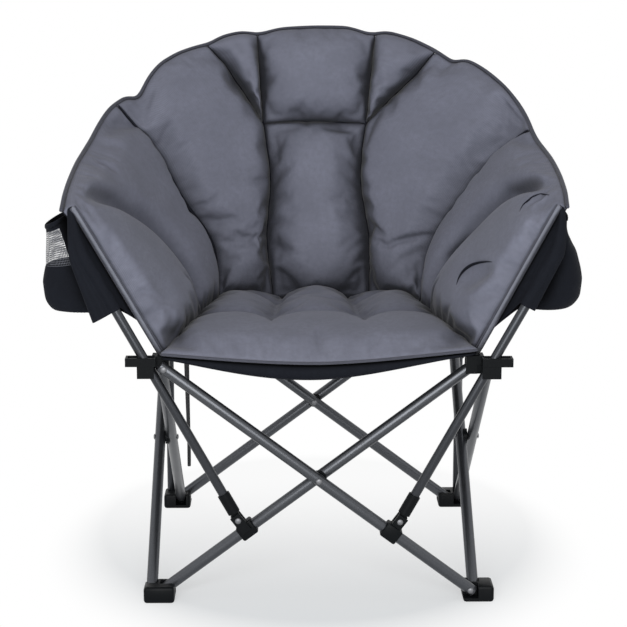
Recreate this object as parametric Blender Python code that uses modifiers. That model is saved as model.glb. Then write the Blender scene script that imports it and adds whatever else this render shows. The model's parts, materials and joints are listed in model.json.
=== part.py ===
"""Folding camping chair: a padded saucer seat on a four-sided scissor frame.

Metres, +Z up. The front faces -Y. Each side of the frame is a pair of crossed tubes. A tube starts at
one corner's foot and ends at the next corner's hub. The hubs rise and the feet close as it folds.
"""
import math

import bmesh
import bpy
from mathutils import Matrix, Vector

# Scissor frame
PIVOT_HALF = 0.252          # half the spacing of the foot pivots, across and front to back
HUB_RISE = 0.378            # hub pivots over foot pivots
FOOT_PIVOT_Z = 0.020
HUB_Z = FOOT_PIVOT_Z + HUB_RISE
FRAME_Y = -0.0295           # centre of the frame, because the saucer overhangs behind it
BAR_RADIUS = 0.0095
BAR_END = 0.008             # tube beyond its end pivot
INNER_PLANE = 0.0065        # inner tubes of each crossing, outward of the pivot line
CROSS_GAP = 0.0016          # between two crossed tubes
FIT = 0.0003                # gap between touching solids
RUN = 0.0005                # gap round a piece that turns
TUBE_SIDES = 16

# Feet and hubs
FOOT_INWARD = 0.012         # foot block, inward of the pivot lines
FOOT_MARGIN = 0.0025        # foot block beyond the outer tube
FOOT_HEIGHT = 0.028
FOOT_ROUND = 0.005
WALL = 0.004                # moulded walls
HUB_TOP = 0.018             # hub over its pivots
HUB_DROP = 0.012            # cheeks under its pivots
GUIDE_DROP = 0.017          # skirt of a front hub's pole guide
GUIDE_LIP = 0.014           # height of the guide's outboard lug
GUIDE_REACH = 0.059         # outer end of the guide slot, outward of the pivot line
SKIRT_REACH = 0.044
LUG_STEP = 0.001            # lugs and webs below the hub's top
SKIRT_INSET = 0.0005

# Rivets
PIN_RADIUS = 0.0026
HEAD_RADIUS = 0.0052
HEAD_HEIGHT = 0.0024
SPACER_RADIUS = 0.013
SPACER_DEPTH = 0.006

# Front poles: each hinges on a clamp on one front tube and slides through its hub
POLE_RADIUS = 0.008
POLE_OUT = 0.0253           # an open pole at its hub's pivots, outward of the pivot line
POLE_TOP_Z = HUB_Z + 0.257
CLAMP_ALONG = 0.166         # clamp, along the tube from the foot pivot
CLAMP_RISE = 0.024          # clamp pin over the tube's axis
CLAMP_LENGTH = 0.030
CLAMP_HALF = 0.013
CLAMP_ROUND = 0.003
FORK_HALF = 0.009
FORK_OVER = 0.010           # fork beyond its pin
TONGUE_HALF = 0.004
TONGUE_ROUND = 0.0068
FERRULE_START = 0.014       # from the pin
FERRULE_LENGTH = 0.036
FERRULE_RADIUS = 0.0105
LEFT_POLE_PLANE = 0.01675   # outward of the pivot line
SLEEVE_WALL = 0.003
SLEEVE_START_Z = HUB_Z + 0.092
SLEEVE_FLAP = (0.036, 0.018)   # cloth outside the pole, from its axis, at the sleeve's foot and head
WEB_THICKNESS = 0.002       # cloth that joins a sleeve to its panel
SLEEVE_WEB = (0.40, 0.97)   # its span up the arm's front edge, of the way from crease to rim

# Rear poles stand in the rear feet
REAR_POLE_OFFSET = 0.0265   # outward of both pivot lines
REAR_POLE_TOP_Z = HUB_Z + 0.417
SOCKET_FLOOR = 0.006
COLLAR_RADIUS = 0.0122
COLLAR_LIP = 0.0015         # collar beyond the hub's top and bottom
POCKET_LENGTH = 0.090
POCKET_WEB = (0.76, 0.92)
POCKET_PLACE = 0.40         # along the half rim

# Padded saucer. Each row sets a point of its right half, from the middle of the back to the arm's front end
RIM_SIDE = 0.153            # arms outside the pivots
RIM_BACK = 0.100            # rim behind the rear pivots
RIM_RISE = 0.520            # top of the rim over the hubs
CREASE_RISE = 0.034
# Shares of PIVOT_HALF and RIM_SIDE across, of PIVOT_HALF and RIM_BACK front to back, and of RIM_RISE
RIM_SHARES = ((0.0, 0.0, 1.0, 1.0, 1.0), (0.556, 0.0, 1.0, 0.88, 0.981), (1.0, 0.08, 1.0, 0.12, 0.892),
              (1.0, 0.74, 0.516, 0.0, 0.742), (1.0, 1.0, -0.198, 0.0, 0.606), (1.0, 1.01, -0.992, 0.0, 0.512))
# Shares of PIVOT_HALF both ways, and of CREASE_RISE
CREASE_SHARES = ((0.0, 0.921, 1.0), (0.417, 0.881, 1.0), (0.698, 0.655, 1.0),
                 (0.841, 0.198, 1.0), (0.910, -0.377, 1.06), (0.992, -0.992, 0.90))
RIM = tuple((PIVOT_HALF * a + RIM_SIDE * b, PIVOT_HALF * c + RIM_BACK * d, HUB_Z + RIM_RISE * e)
            for a, b, c, d, e in RIM_SHARES)
CREASE = tuple((PIVOT_HALF * a, PIVOT_HALF * b, HUB_Z + CREASE_RISE * c) for a, b, c in CREASE_SHARES)
BELLY = 0.64                # how far the saucer's wall leans out before it rises
BELLY_RISE = 0.34
PAD_CROWN = 0.034
PAD_EDGE = 0.0025           # half the thickness of a sewn edge
PAD_BACK = 0.008
SEAM_SHARE = 0.004          # of a panel's width, left open at its seams
SEAM_DRAW = 0.75            # how far a level seam draws a panel in
SEAM_SPREAD = 0.07
INNER_SEAM = (0.170, 0.138, 0.175)     # share of the half width, at crease, middle and rim
OUTER_SEAM = (0.475, 0.475, 0.640)
CENTRE_SEAM = 0.70                      # height of the level seam in the middle panel
WING_FOLD = (0.625, 0.690, 0.965)       # soft fold behind the arm's front roll
FOLD_DRAW = 0.55            # how far the fold draws a wing in
FOLD_SPREAD = 0.26          # of a wing's half width
WING_STEPS = (14, 9)
PAD_STEPS = 9
WEB_STEPS = (6, 1)

# Seat
SEAT_FRONT_Y = -PIVOT_HALF - 0.044
SEAT_REAR_Y = PIVOT_HALF - 0.026
SEAT_FRONT_HALF = PIVOT_HALF - 0.018
SEAT_TAPER = 0.060          # each rear corner in from the front ones
SEAT_BOW = 0.055            # rear corners ahead of the rear edge
SEAT_FRONT_BOW = 0.010      # front corners behind the front edge
SEAT_Z = HUB_Z + 0.0125
SEAT_CROWN = 0.034
SEAT_ROLL = 0.020           # how far the front edge sags in its middle
SEAT_COLUMNS = 3
CHANNEL_SHARE = 0.35        # of the crown, left at a sewn channel
SEAT_ROWS = 2
ROLL_START = 0.55           # where the front starts to sag, of the half depth
SEAT_STEPS = (15, 10)
UNDERLAY_EDGE = 0.004
UNDERLAY_BELLY = 0.016
TAB_WIDTH = 0.022
TAB_THICKNESS = 0.002
TAB_PLACE = -0.88           # along the seat's side
TAB_REACH = 0.008           # over the hub, outward of the pivot line
TAB_RISE_SHARE = 1 / 6      # of the tab, before it lies level

# Pouches that hang outside the arms: half depth, outer side beyond the pivot line, how far the mouth
# draws in, and place along the half rim
CUP = (0.050, 0.197, 0.0, 0.93)
POCKET = (0.080, 0.187, 0.20, 0.91)
POUCH_LOW_Z = HUB_Z + 0.084
POUCH_TOP_Z = HUB_Z + 0.245
POUCH_WALL = 0.003
POUCH_FLOOR = 0.86          # bottom to top, front to back
POUCH_SPAN = (0.40, 0.93)   # height of the arm's side that the pouch lies on, from crease to rim
POUCH_SIDES = 20
POUCH_RINGS = 4

# Strap loop under the rear left corner, from the hub's pivots: inward, forward and up
STRAP_RADIUS = 0.0028
STRAP_STEPS = 4
STRAP_ROUTE = ((0.0040, 0.0079, 0.000), (0.0040, 0.0160, -0.001), (0.0045, 0.0270, -0.013),
               (0.0060, 0.0350, -0.048), (0.0080, 0.0410, -0.098), (0.0100, 0.0470, -0.163),
               (0.0120, 0.0520, -0.223), (0.0135, 0.0590, -0.266), (0.0140, 0.0710, -0.289),
               (0.0145, 0.0860, -0.290), (0.0150, 0.0950, -0.268), (0.0150, 0.0940, -0.223),
               (0.0140, 0.0840, -0.158), (0.0130, 0.0700, -0.093), (0.0120, 0.0520, -0.043),
               (0.0110, 0.0340, -0.015), (0.0108, 0.0180, -0.007), (0.0108, 0.0079, -0.007))

OUTER_PLANE = INNER_PLANE + 2 * BAR_RADIUS + CROSS_GAP
SWING = math.hypot(BAR_END, BAR_RADIUS) + RUN
HALF_SLOT = BAR_RADIUS + FIT
FOOT_OUTWARD = OUTER_PLANE + BAR_RADIUS + FOOT_MARGIN
RIGHT_POLE_PLANE = OUTER_PLANE
FAR = 0.2

# Each corner's signs, and whether its foot holds the front or rear tube in the inner plane
CORNERS = {"front_left": (-1, -1, True), "front_right": (1, -1, False),
           "rear_right": (1, 1, True), "rear_left": (-1, 1, False)}
SIDES = {"front": ("front_left", "front_right"), "right": ("front_right", "rear_right"),
         "rear": ("rear_right", "rear_left"), "left": ("rear_left", "front_left")}

for old in list(bpy.data.objects):
    bpy.data.objects.remove(old)
PARTS = bpy.data.collections.new("folding_camping_chair")
CUTTERS = bpy.data.collections.new("cutters")
bpy.context.scene.collection.children.link(PARTS)
bpy.context.scene.collection.children.link(CUTTERS)


def material(name, colour, roughness, metallic=0.0):
    made = bpy.data.materials.new(name)
    made.use_nodes = True
    shader = made.node_tree.nodes["Principled BSDF"]
    shader.inputs["Base Color"].default_value = (*colour, 1.0)
    shader.inputs["Roughness"].default_value = roughness
    shader.inputs["Metallic"].default_value = metallic
    return made


STEEL = material("gunmetal_painted_steel", (0.080, 0.082, 0.090), 0.35, 0.6)
RIVET_STEEL = material("plated_rivet_steel", (0.45, 0.45, 0.46), 0.30, 1.0)
PLASTIC = material("black_moulded_plastic", (0.012, 0.012, 0.013), 0.45)
GREY_CLOTH = material("slate_grey_polyester", (0.140, 0.146, 0.185), 0.85)
BLACK_CLOTH = material("black_polyester", (0.010, 0.010, 0.014), 0.80)


# Placing and joining

def corner_point(corner, u, v, z):
    """A point u outward of the corner's pivot line across, v outward of it front to back."""
    sign_x, sign_y, _ = CORNERS[corner]
    return Vector((sign_x * (PIVOT_HALF + u), FRAME_Y + sign_y * (PIVOT_HALF + v), z))


def corner_axis(corner, along_x):
    """The way outward at a corner, across or front to back."""
    sign_x, sign_y, _ = CORNERS[corner]
    return Vector((sign_x, 0, 0)) if along_x else Vector((0, sign_y, 0))


def turned_uv(along_x, run, across):
    """Ranges along and across a tube as ranges of u and v."""
    return (run, across) if along_x else (across, run)


def link(name, mesh, collection, finish=None):
    made = bpy.data.objects.new(name, mesh)
    collection.objects.link(made)
    if finish:
        mesh.materials.append(finish)
    if collection is CUTTERS:
        made.hide_render = True
        made.display_type = "WIRE"
    return made


def mesh_from(name, shape):
    mesh = bpy.data.meshes.new(name)
    bmesh.ops.recalc_face_normals(shape, faces=shape.faces)
    if shape.calc_volume(signed=True) < 0:
        bmesh.ops.reverse_faces(shape, faces=shape.faces)
    shape.to_mesh(mesh)
    shape.free()
    return mesh


def shade_round(mesh):
    mesh.shade_smooth()
    mesh.set_sharp_from_angle(angle=math.radians(40))


def box(name, low, high, collection=CUTTERS, finish=None):
    shape = bmesh.new()
    bmesh.ops.create_cube(shape, size=1.0)
    size = Vector(high) - Vector(low)
    bmesh.ops.scale(shape, vec=[abs(n) for n in size], verts=shape.verts)
    bmesh.ops.translate(shape, vec=(Vector(low) + Vector(high)) / 2, verts=shape.verts)
    return link(name, mesh_from(name, shape), collection, finish)


def corner_box(name, corner, u, v, z, collection=CUTTERS, finish=None):
    return box(name, corner_point(corner, u[0], v[0], z[0]), corner_point(corner, u[1], v[1], z[1]),
               collection, finish)


def rod(name, start, end, radius, collection=CUTTERS, finish=None, sides=TUBE_SIDES):
    """A straight round bar between two points."""
    axis = Vector(end) - Vector(start)
    shape = bmesh.new()
    bmesh.ops.create_cone(shape, cap_ends=True, segments=sides, radius1=radius, radius2=radius,
                          depth=axis.length)
    turn = Vector((0, 0, 1)).rotation_difference(axis.normalized()).to_matrix().to_4x4()
    bmesh.ops.transform(shape, verts=shape.verts,
                        matrix=Matrix.Translation((Vector(start) + Vector(end)) / 2) @ turn)
    mesh = mesh_from(name, shape)
    shade_round(mesh)
    return link(name, mesh, collection, finish)


def combine(target, tool, operation="DIFFERENCE"):
    step = target.modifiers.new(operation.lower(), "BOOLEAN")
    step.operation = operation
    step.object = tool
    step.solver = "EXACT"


def round_edges(target, width):
    step = target.modifiers.new("rounded_edges", "BEVEL")
    step.width = width
    step.segments = 2
    step.limit_method = "ANGLE"
    step.angle_limit = math.radians(60)


def rivet_profile(length, two_heads):
    """A domed rivet's half outline, from its outer head at +length down its outer side to z = 0."""
    dome = [(HEAD_RADIUS * math.sin(t), length + HEAD_HEIGHT * math.cos(t))
            for t in (0.0, math.radians(45), math.radians(90))]
    outline = dome + [(PIN_RADIUS, length)]
    if not two_heads:
        return outline + [(PIN_RADIUS, 0.0), (0.0, 0.0)]
    foot = [(x, length - z) for x, z in reversed(dome)]
    return outline + [(PIN_RADIUS, 0.0)] + foot


def rivet(name, head, tail, two_heads=False, collection=PARTS):
    """A turned rivet whose shank runs from under its head to its tail."""
    axis = Vector(head) - Vector(tail)
    shape = bmesh.new()
    points = [shape.verts.new((x, 0, z)) for x, z in rivet_profile(axis.length, two_heads)]
    edges = [shape.edges.new(pair) for pair in zip(points, points[1:])]
    bmesh.ops.spin(shape, geom=points + edges, cent=(0, 0, 0), axis=(0, 0, 1), angle=math.tau, steps=10,
                   use_merge=True)
    bmesh.ops.remove_doubles(shape, verts=shape.verts, dist=1e-6)
    turn = Vector((0, 0, 1)).rotation_difference(axis.normalized()).to_matrix().to_4x4()
    bmesh.ops.transform(shape, verts=shape.verts, matrix=Matrix.Translation(Vector(tail)) @ turn)
    mesh = mesh_from(name, shape)
    shade_round(mesh)
    return link(name, mesh, collection, RIVET_STEEL)


# Bodies: an empty on each body's joint, and the pieces under it

def body(name, pivot):
    empty = bpy.data.objects.new(name, None)
    empty.location = pivot
    empty.empty_display_size = 0.03
    PARTS.objects.link(empty)
    bpy.context.view_layer.update()
    return empty


def carry(parent, *pieces):
    for piece in pieces:
        piece.parent = parent
        piece.matrix_parent_inverse = parent.matrix_world.inverted()


# Frame pieces

def bar_ends(side, inner):
    """A tube's foot pivot and hub pivot, on its own axis."""
    first, second = SIDES[side]
    foot, hub = (first, second) if inner else (second, first)
    across = INNER_PLANE if inner else OUTER_PLANE
    along_x = side in ("front", "rear")
    place = (lambda c, z: corner_point(c, 0, across, z)) if along_x else (
        lambda c, z: corner_point(c, across, 0, z))
    return foot, hub, place(foot, FOOT_PIVOT_Z), place(hub, HUB_Z)


def cross_bar(side, inner):
    foot, hub, low, high = bar_ends(side, inner)
    run = (high - low).normalized()
    name = f"{side}_{'inner' if inner else 'outer'}_cross_tube"
    made = rod(name, low - run * BAR_END, high + run * BAR_END, BAR_RADIUS, PARTS, STEEL)
    through = corner_axis(foot, side in ("left", "right")) * 2 * BAR_RADIUS
    for n, centre in enumerate((low, (low + high) / 2, high)):
        combine(made, rod(f"{name}_hole_{n}", centre - through, centre + through, PIN_RADIUS + FIT, sides=10))
    return made


def centre_rivet(side):
    low, high = bar_ends(side, True)[2:]
    outward = corner_axis(SIDES[side][0], side in ("left", "right"))
    middle = (low + high) / 2
    reach = BAR_RADIUS + FIT
    tail = middle - outward * reach
    head = middle + outward * (OUTER_PLANE - INNER_PLANE + reach)
    return rivet(f"{side}_crossing_rivet", head, tail, two_heads=True)


def crossing_spacer(side):
    """A moulded saddle on the inner tube that keeps the two tubes apart."""
    low, high = bar_ends(side, True)[2:]
    outward = corner_axis(SIDES[side][0], side in ("left", "right"))
    middle = (low + high) / 2
    face = middle + outward * (BAR_RADIUS + CROSS_GAP - FIT)
    name = f"{side}_crossing_spacer"
    made = rod(name, face - outward * SPACER_DEPTH, face, SPACER_RADIUS, PARTS, PLASTIC)
    run = (high - low).normalized() * 2 * SPACER_RADIUS
    combine(made, rod(name + "_saddle", middle - run, middle + run, BAR_RADIUS + FIT))
    combine(made, rod(name + "_hole", face - outward * FAR, face + outward * FAR, PIN_RADIUS + FIT, sides=10))
    return made


def foot(corner):
    """A moulded foot: a slot for its inner tube and a side recess for its outer one."""
    inner_x = CORNERS[corner][2]
    name = f"{corner}_foot"
    span = (-FOOT_INWARD, FOOT_OUTWARD)
    made = corner_box(name, corner, span, span, (0, FOOT_HEIGHT), PARTS, PLASTIC)
    round_edges(made, FOOT_ROUND)
    cut_z = (FOOT_PIVOT_Z - SWING, FAR)
    slot = turned_uv(inner_x, (-FAR, SWING), (INNER_PLANE - HALF_SLOT, INNER_PLANE + HALF_SLOT))
    combine(made, corner_box(name + "_slot", corner, *slot, cut_z))
    recess = turned_uv(not inner_x, (-FAR, SWING), (OUTER_PLANE - HALF_SLOT, FAR))
    combine(made, corner_box(name + "_recess", corner, *recess, cut_z))
    if corner.startswith("rear"):
        base = corner_point(corner, REAR_POLE_OFFSET, REAR_POLE_OFFSET, SOCKET_FLOOR)
        combine(made, rod(name + "_socket", base, base + Vector((0, 0, FAR)), POLE_RADIUS + FIT))
    cheeks = (INNER_PLANE - HALF_SLOT - WALL / 2, INNER_PLANE + HALF_SLOT + WALL / 2)
    return made, add_pivots(made, corner, inner_x, FOOT_PIVOT_Z, cheeks)


def add_pivots(made, corner, inner_x, z, cheeks):
    """The pin across a moulding's slot, moulded in, and the rivet that holds its outer tube, head outside."""
    def at(along_x, across):
        return corner_point(corner, 0, across, z) if along_x else corner_point(corner, across, 0, z)
    combine(made, rod(made.name + "_pin", at(inner_x, cheeks[0]), at(inner_x, cheeks[1]), PIN_RADIUS, sides=10),
            "UNION")
    head = at(not inner_x, OUTER_PLANE + HALF_SLOT)
    tail = at(not inner_x, SWING + 2 * FIT)
    run = (tail - head).normalized()
    combine(made, rod(made.name + "_hole", head, tail + run * FIT, PIN_RADIUS + FIT, sides=10))
    return rivet(made.name + "_rivet", head, tail)


def hub(corner):
    """A moulded hub: cheeks round its inner tube, a wall behind its outer one, and its pole's guide."""
    inner_x = not CORNERS[corner][2]
    name = f"{corner}_hub"
    cheek_in = INNER_PLANE - HALF_SLOT - WALL - FIT
    cheek_out = INNER_PLANE + HALF_SLOT + WALL
    core = turned_uv(inner_x, (-HUB_DROP, OUTER_PLANE - HALF_SLOT), (cheek_in, cheek_out))
    made = corner_box(name, corner, *core, (HUB_Z - HUB_DROP, HUB_Z + HUB_TOP), PARTS, PLASTIC)
    if corner.startswith("front"):
        add_guide(made, corner)
    else:
        add_collar(made, corner, inner_x)
    slot = turned_uv(inner_x, (-FAR, SWING), (INNER_PLANE - HALF_SLOT, INNER_PLANE + HALF_SLOT))
    combine(made, corner_box(name + "_slot", corner, *slot, (-FAR, HUB_Z + SWING)))
    cheeks = (cheek_in + WALL / 2, cheek_out - WALL / 2)
    return made, add_pivots(made, corner, inner_x, HUB_Z, cheeks)


def add_guide(made, corner):
    """The long slot that lets a front pole lean as it slides."""
    plane = LEFT_POLE_PLANE if corner == "front_left" else RIGHT_POLE_PLANE
    half = POLE_RADIUS + FIT
    walls = (plane - half - WALL, plane + half + WALL)
    near = SWING + FIT
    top = HUB_Z + HUB_TOP - LUG_STEP
    combine(made, corner_box(made.name + "_lug", corner, (near, GUIDE_REACH + WALL), walls,
                             (top - GUIDE_LIP, top)), "UNION")
    skirt_start = INNER_PLANE + HALF_SLOT + FIT if corner == "front_left" else near
    skirt = (walls[0] + SKIRT_INSET, walls[1] - SKIRT_INSET)
    combine(made, corner_box(made.name + "_skirt", corner, (skirt_start, SKIRT_REACH), skirt,
                             (HUB_Z - GUIDE_DROP, top - LUG_STEP)), "UNION")
    clear = (plane - half, plane + half)
    way = pole_line(corner)[1]
    lean = POLE_RADIUS / way.z
    low_reach = GUIDE_DROP * abs(way.x) / way.z + lean
    combine(made, corner_box(made.name + "_way", corner, (POLE_OUT - low_reach, GUIDE_REACH), clear,
                             (HUB_Z - FAR, top - GUIDE_LIP)))
    combine(made, corner_box(made.name + "_guide", corner, (POLE_OUT - lean - RUN, GUIDE_REACH), clear,
                             (top - GUIDE_LIP - FIT, top + FAR)))


def add_collar(made, corner, inner_x):
    """The collar that slides on a rear pole, and the web that carries it."""
    base = corner_point(corner, REAR_POLE_OFFSET, REAR_POLE_OFFSET, HUB_Z - HUB_DROP - COLLAR_LIP)
    top = corner_point(corner, REAR_POLE_OFFSET, REAR_POLE_OFFSET, HUB_Z + HUB_TOP + COLLAR_LIP)
    combine(made, rod(made.name + "_collar", base, top, COLLAR_RADIUS), "UNION")
    web = turned_uv(inner_x, (SWING + FIT, REAR_POLE_OFFSET), (INNER_PLANE + HALF_SLOT, REAR_POLE_OFFSET))
    height = (HUB_Z - HUB_DROP + LUG_STEP, HUB_Z + HUB_TOP - LUG_STEP)
    combine(made, corner_box(made.name + "_web", corner, *web, height), "UNION")
    combine(made, rod(made.name + "_bore", base - Vector((0, 0, FAR)), top + Vector((0, 0, FAR)),
                      POLE_RADIUS + RUN))


# Poles

def clamp_frame(corner):
    """A front pole's clamp pin, its tube's direction and the way up from the tube."""
    inner = corner == "front_left"
    low, high = bar_ends("front", inner)[2:]
    run = (high - low).normalized()
    up = Vector((-run.x * run.z / abs(run.x), 0, abs(run.x)))
    return low + run * CLAMP_ALONG, run, up


def pole_line(corner):
    """A front pole's pin and its direction, in its own plane."""
    centre, _, up = clamp_frame(corner)
    plane = LEFT_POLE_PLANE if corner == "front_left" else RIGHT_POLE_PLANE
    pin = centre + up * CLAMP_RISE
    pin.y = corner_point(corner, 0, plane, 0).y
    return pin, (corner_point(corner, POLE_OUT, plane, HUB_Z) - pin).normalized()


def oriented_box(name, centre, axes, low, high, collection=CUTTERS, finish=None):
    """A box along three given axes."""
    shape = bmesh.new()
    bmesh.ops.create_cube(shape, size=1.0)
    size = [b - a for a, b in zip(low, high)]
    bmesh.ops.scale(shape, vec=size, verts=shape.verts)
    bmesh.ops.translate(shape, vec=[(a + b) / 2 for a, b in zip(low, high)], verts=shape.verts)
    turn = Matrix([axes[0], axes[1], axes[2]]).transposed().to_4x4()
    bmesh.ops.transform(shape, verts=shape.verts, matrix=Matrix.Translation(centre) @ turn)
    return link(name, mesh_from(name, shape), collection, finish)


def pole_clamp(corner):
    """A collar on a front tube with a fork for the pole's tongue."""
    centre, run, up = clamp_frame(corner)
    pin, _ = pole_line(corner)
    across = Vector((0, 1, 0))
    axes = (run, across, up)
    side = pin.y - centre.y
    name = f"{corner}_pole_clamp"
    half = CLAMP_LENGTH / 2
    made = oriented_box(name, centre, axes, (-half, -CLAMP_HALF, -CLAMP_HALF), (half, CLAMP_HALF, CLAMP_HALF),
                        PARTS, PLASTIC)
    round_edges(made, CLAMP_ROUND)
    combine(made, oriented_box(name + "_fork", centre, axes, (-FORK_HALF, side - FORK_HALF, 0.0),
                               (FORK_HALF, side + FORK_HALF, CLAMP_RISE + FORK_OVER)), "UNION")
    mouth = TONGUE_HALF + RUN
    floor = CLAMP_RISE - TONGUE_ROUND - 2 * RUN
    combine(made, oriented_box(name + "_mouth", centre, axes, (-FAR, side - mouth, floor),
                               (FAR, side + mouth, FAR)))
    combine(made, rod(name + "_bore", centre - run * FAR, centre + run * FAR, BAR_RADIUS + FIT))
    eye = Vector((pin.x, centre.y, pin.z))
    combine(made, rod(name + "_eye", eye - across * FAR, eye + across * FAR, PIN_RADIUS + FIT, sides=10))
    return made


def clamp_pin(corner):
    pin, _ = pole_line(corner)
    across = Vector((0, FORK_HALF + FIT, 0))
    return rivet(f"{corner}_clamp_pin", pin - across, pin + across, two_heads=True)


def pole_ferrule(corner):
    """The moulded end of a front pole, with a flat tongue for the clamp's pin."""
    pin, lean = pole_line(corner)
    across = Vector((0, 1, 0))
    axes = (across.cross(lean), across, lean)
    name = f"{corner}_pole_ferrule"
    start = pin + lean * FERRULE_START
    end = start + lean * FERRULE_LENGTH
    made = rod(name, start, end, FERRULE_RADIUS, PARTS, PLASTIC)
    combine(made, oriented_box(name + "_tongue", pin, axes, (-TONGUE_ROUND, -TONGUE_HALF, 0.0),
                               (TONGUE_ROUND, TONGUE_HALF, FERRULE_START + WALL / 2)), "UNION")
    combine(made, rod(name + "_eye_end", pin - across * TONGUE_HALF, pin + across * TONGUE_HALF, TONGUE_ROUND),
            "UNION")
    combine(made, rod(name + "_bore", start + lean * WALL, end + lean * FAR, POLE_RADIUS + FIT))
    combine(made, rod(name + "_eye", pin - across * FAR, pin + across * FAR, PIN_RADIUS + FIT, sides=10))
    return made


def front_pole(corner):
    pin, lean = pole_line(corner)
    start = pin + lean * (FERRULE_START + WALL + FIT)
    end = pin + lean * ((POLE_TOP_Z - pin.z) / lean.z)
    return rod(f"{corner}_pole", start, end, POLE_RADIUS, PARTS, STEEL)


def pole_sleeve(name, start, end, length, edges):
    """A sleeve over the top of a pole, closed at its end, with webs from the pole to the given edges."""
    run = (end - start).normalized()
    low = end - run * length
    made = rod(name, low, end + run * (SLEEVE_WALL + FIT), POLE_RADIUS + FIT + SLEEVE_WALL, PARTS, BLACK_CLOTH)

    for n, edge in enumerate(edges):
        def place(a, b, side):
            on_pole = low.lerp(end, 0.5 + 0.5 * a)
            far = edge(0.5 + 0.5 * a)
            thick = run.cross(on_pole - far).normalized() * WEB_THICKNESS / 2
            return far.lerp(on_pole, 0.5 + 0.5 * b) + thick * side
        combine(made, closed_pad(f"{name}_web_{n}", WEB_STEPS, place, None, CUTTERS), "UNION")
    combine(made, rod(name + "_bore", start, end + run * FIT, POLE_RADIUS + FIT))
    return made


def front_sleeve(corner):
    pin, lean = pole_line(corner)
    end = pin + lean * ((POLE_TOP_Z - pin.z) / lean.z)

    def panel_edge(t):
        spot = saucer(CORNERS[corner][0], SLEEVE_WEB[0] + (SLEEVE_WEB[1] - SLEEVE_WEB[0]) * t)
        return spot - Vector((0, FIT + WEB_THICKNESS / 2, 0))
    length = (POLE_TOP_Z - SLEEVE_START_Z) / lean.z
    outward = Vector((CORNERS[corner][0] * lean.z, 0, -abs(lean.x)))

    def flap_edge(t):
        low, high = SLEEVE_FLAP
        return end - lean * length * (1 - t) + outward * (low + (high - low) * t)
    return pole_sleeve(f"{corner}_pole_sleeve", pin, end, length, (panel_edge, flap_edge))


def rear_pole_ends(corner):
    base = corner_point(corner, REAR_POLE_OFFSET, REAR_POLE_OFFSET, SOCKET_FLOOR + FIT)
    return base, Vector((base.x, base.y, REAR_POLE_TOP_Z))


def rear_pole(corner):
    base, top = rear_pole_ends(corner)
    return rod(f"{corner}_pole", base, top, POLE_RADIUS, PARTS, STEEL)


def rear_pocket(corner):
    base, top = rear_pole_ends(corner)
    place = CORNERS[corner][0] * POCKET_PLACE

    def panel_edge(t):
        h = POCKET_WEB[0] + (POCKET_WEB[1] - POCKET_WEB[0]) * t
        inner, outer = seam_at(INNER_SEAM, h), seam_at(OUTER_SEAM, h)
        a = 2 * (POCKET_PLACE - inner) / (outer - inner) - 1
        return saucer(place, h) + saucer_normal(place, h) * (pad_depth(a, 2 * h - 1, -1) - 2 * FIT)
    return pole_sleeve(f"{corner}_pole_pocket", base, top, POCKET_LENGTH, (panel_edge,))


# Padded saucer

def smooth_through(points, t):
    """A smooth curve through evenly spaced points, for t from 0 to 1."""
    spans = len(points) - 1
    place = min(max(t, 0.0), 1.0) * spans
    k = min(int(place), spans - 1)
    f = place - k
    p1, p2 = Vector(points[k]), Vector(points[k + 1])
    p0 = Vector(points[k - 1]) if k else 2 * p1 - p2
    p3 = Vector(points[k + 2]) if k + 2 <= spans else 2 * p2 - p1
    if k == 0:
        p0 = Vector((-p2.x, p2.y, p2.z))
    return 0.5 * (2 * p1 + (p2 - p0) * f + (2 * p0 - 5 * p1 + 4 * p2 - p3) * f * f
                  + (3 * p1 - p0 - 3 * p2 + p3) * f ** 3)


def saucer(s, h):
    """The saucer's middle surface: s from the left arm's end (-1) to the right's (1), h from crease to rim."""
    low = smooth_through(CREASE, abs(s))
    high = smooth_through(RIM, abs(s))
    belly = low.lerp(high, BELLY)
    belly.z = low.z + BELLY_RISE * (high.z - low.z)
    point = low * (1 - h) ** 2 + belly * 2 * h * (1 - h) + high * h * h
    return Vector((math.copysign(point.x, s) if s else 0.0, point.y + FRAME_Y, point.z))


def saucer_normal(s, h):
    """The way into the saucer."""
    step = 0.004
    along = saucer(min(s + step, 1.0), h) - saucer(max(s - step, -1.0), h)
    up = saucer(s, min(h + step, 1.0)) - saucer(s, max(h - step, 0.0))
    return along.cross(up).normalized()


def seam_at(shares, h):
    """A seam's place at a height, through its shares at crease, middle and rim."""
    low, middle, high = shares
    return low * (1 - h) * (1 - 2 * h) + middle * 4 * h * (1 - h) + high * h * (2 * h - 1)


def swell(t):
    """A stuffed panel's rise between two seams, for t from -1 to 1."""
    return 1.0 - t ** 4


def closed_pad(name, steps, place, finish, collection=PARTS):
    """A closed pad from a grid, its two faces placed by a function of (a, b, side)."""
    shape = bmesh.new()
    bmesh.ops.create_grid(shape, x_segments=steps[0], y_segments=steps[1], size=1.0)
    back = list(shape.verts)
    spread = {vert: (vert.co.x, vert.co.y) for vert in back}
    front = bmesh.ops.extrude_face_region(shape, geom=shape.faces[:])["geom"]
    for vert in [g for g in front if isinstance(g, bmesh.types.BMVert)]:
        vert.co = place(vert.co.x, vert.co.y, 1)
    for vert, (a, b) in spread.items():
        vert.co = place(a, b, -1)
    mesh = mesh_from(name, shape)
    mesh.shade_smooth()
    return link(name, mesh, collection, finish)


def pad_depth(a, b, side):
    """A panel's face over the saucer's middle surface: crowned inside, flatter outside."""
    rise = swell(a) * swell(b)
    return PAD_EDGE + PAD_CROWN * rise if side > 0 else -PAD_EDGE - PAD_BACK * rise


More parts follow.
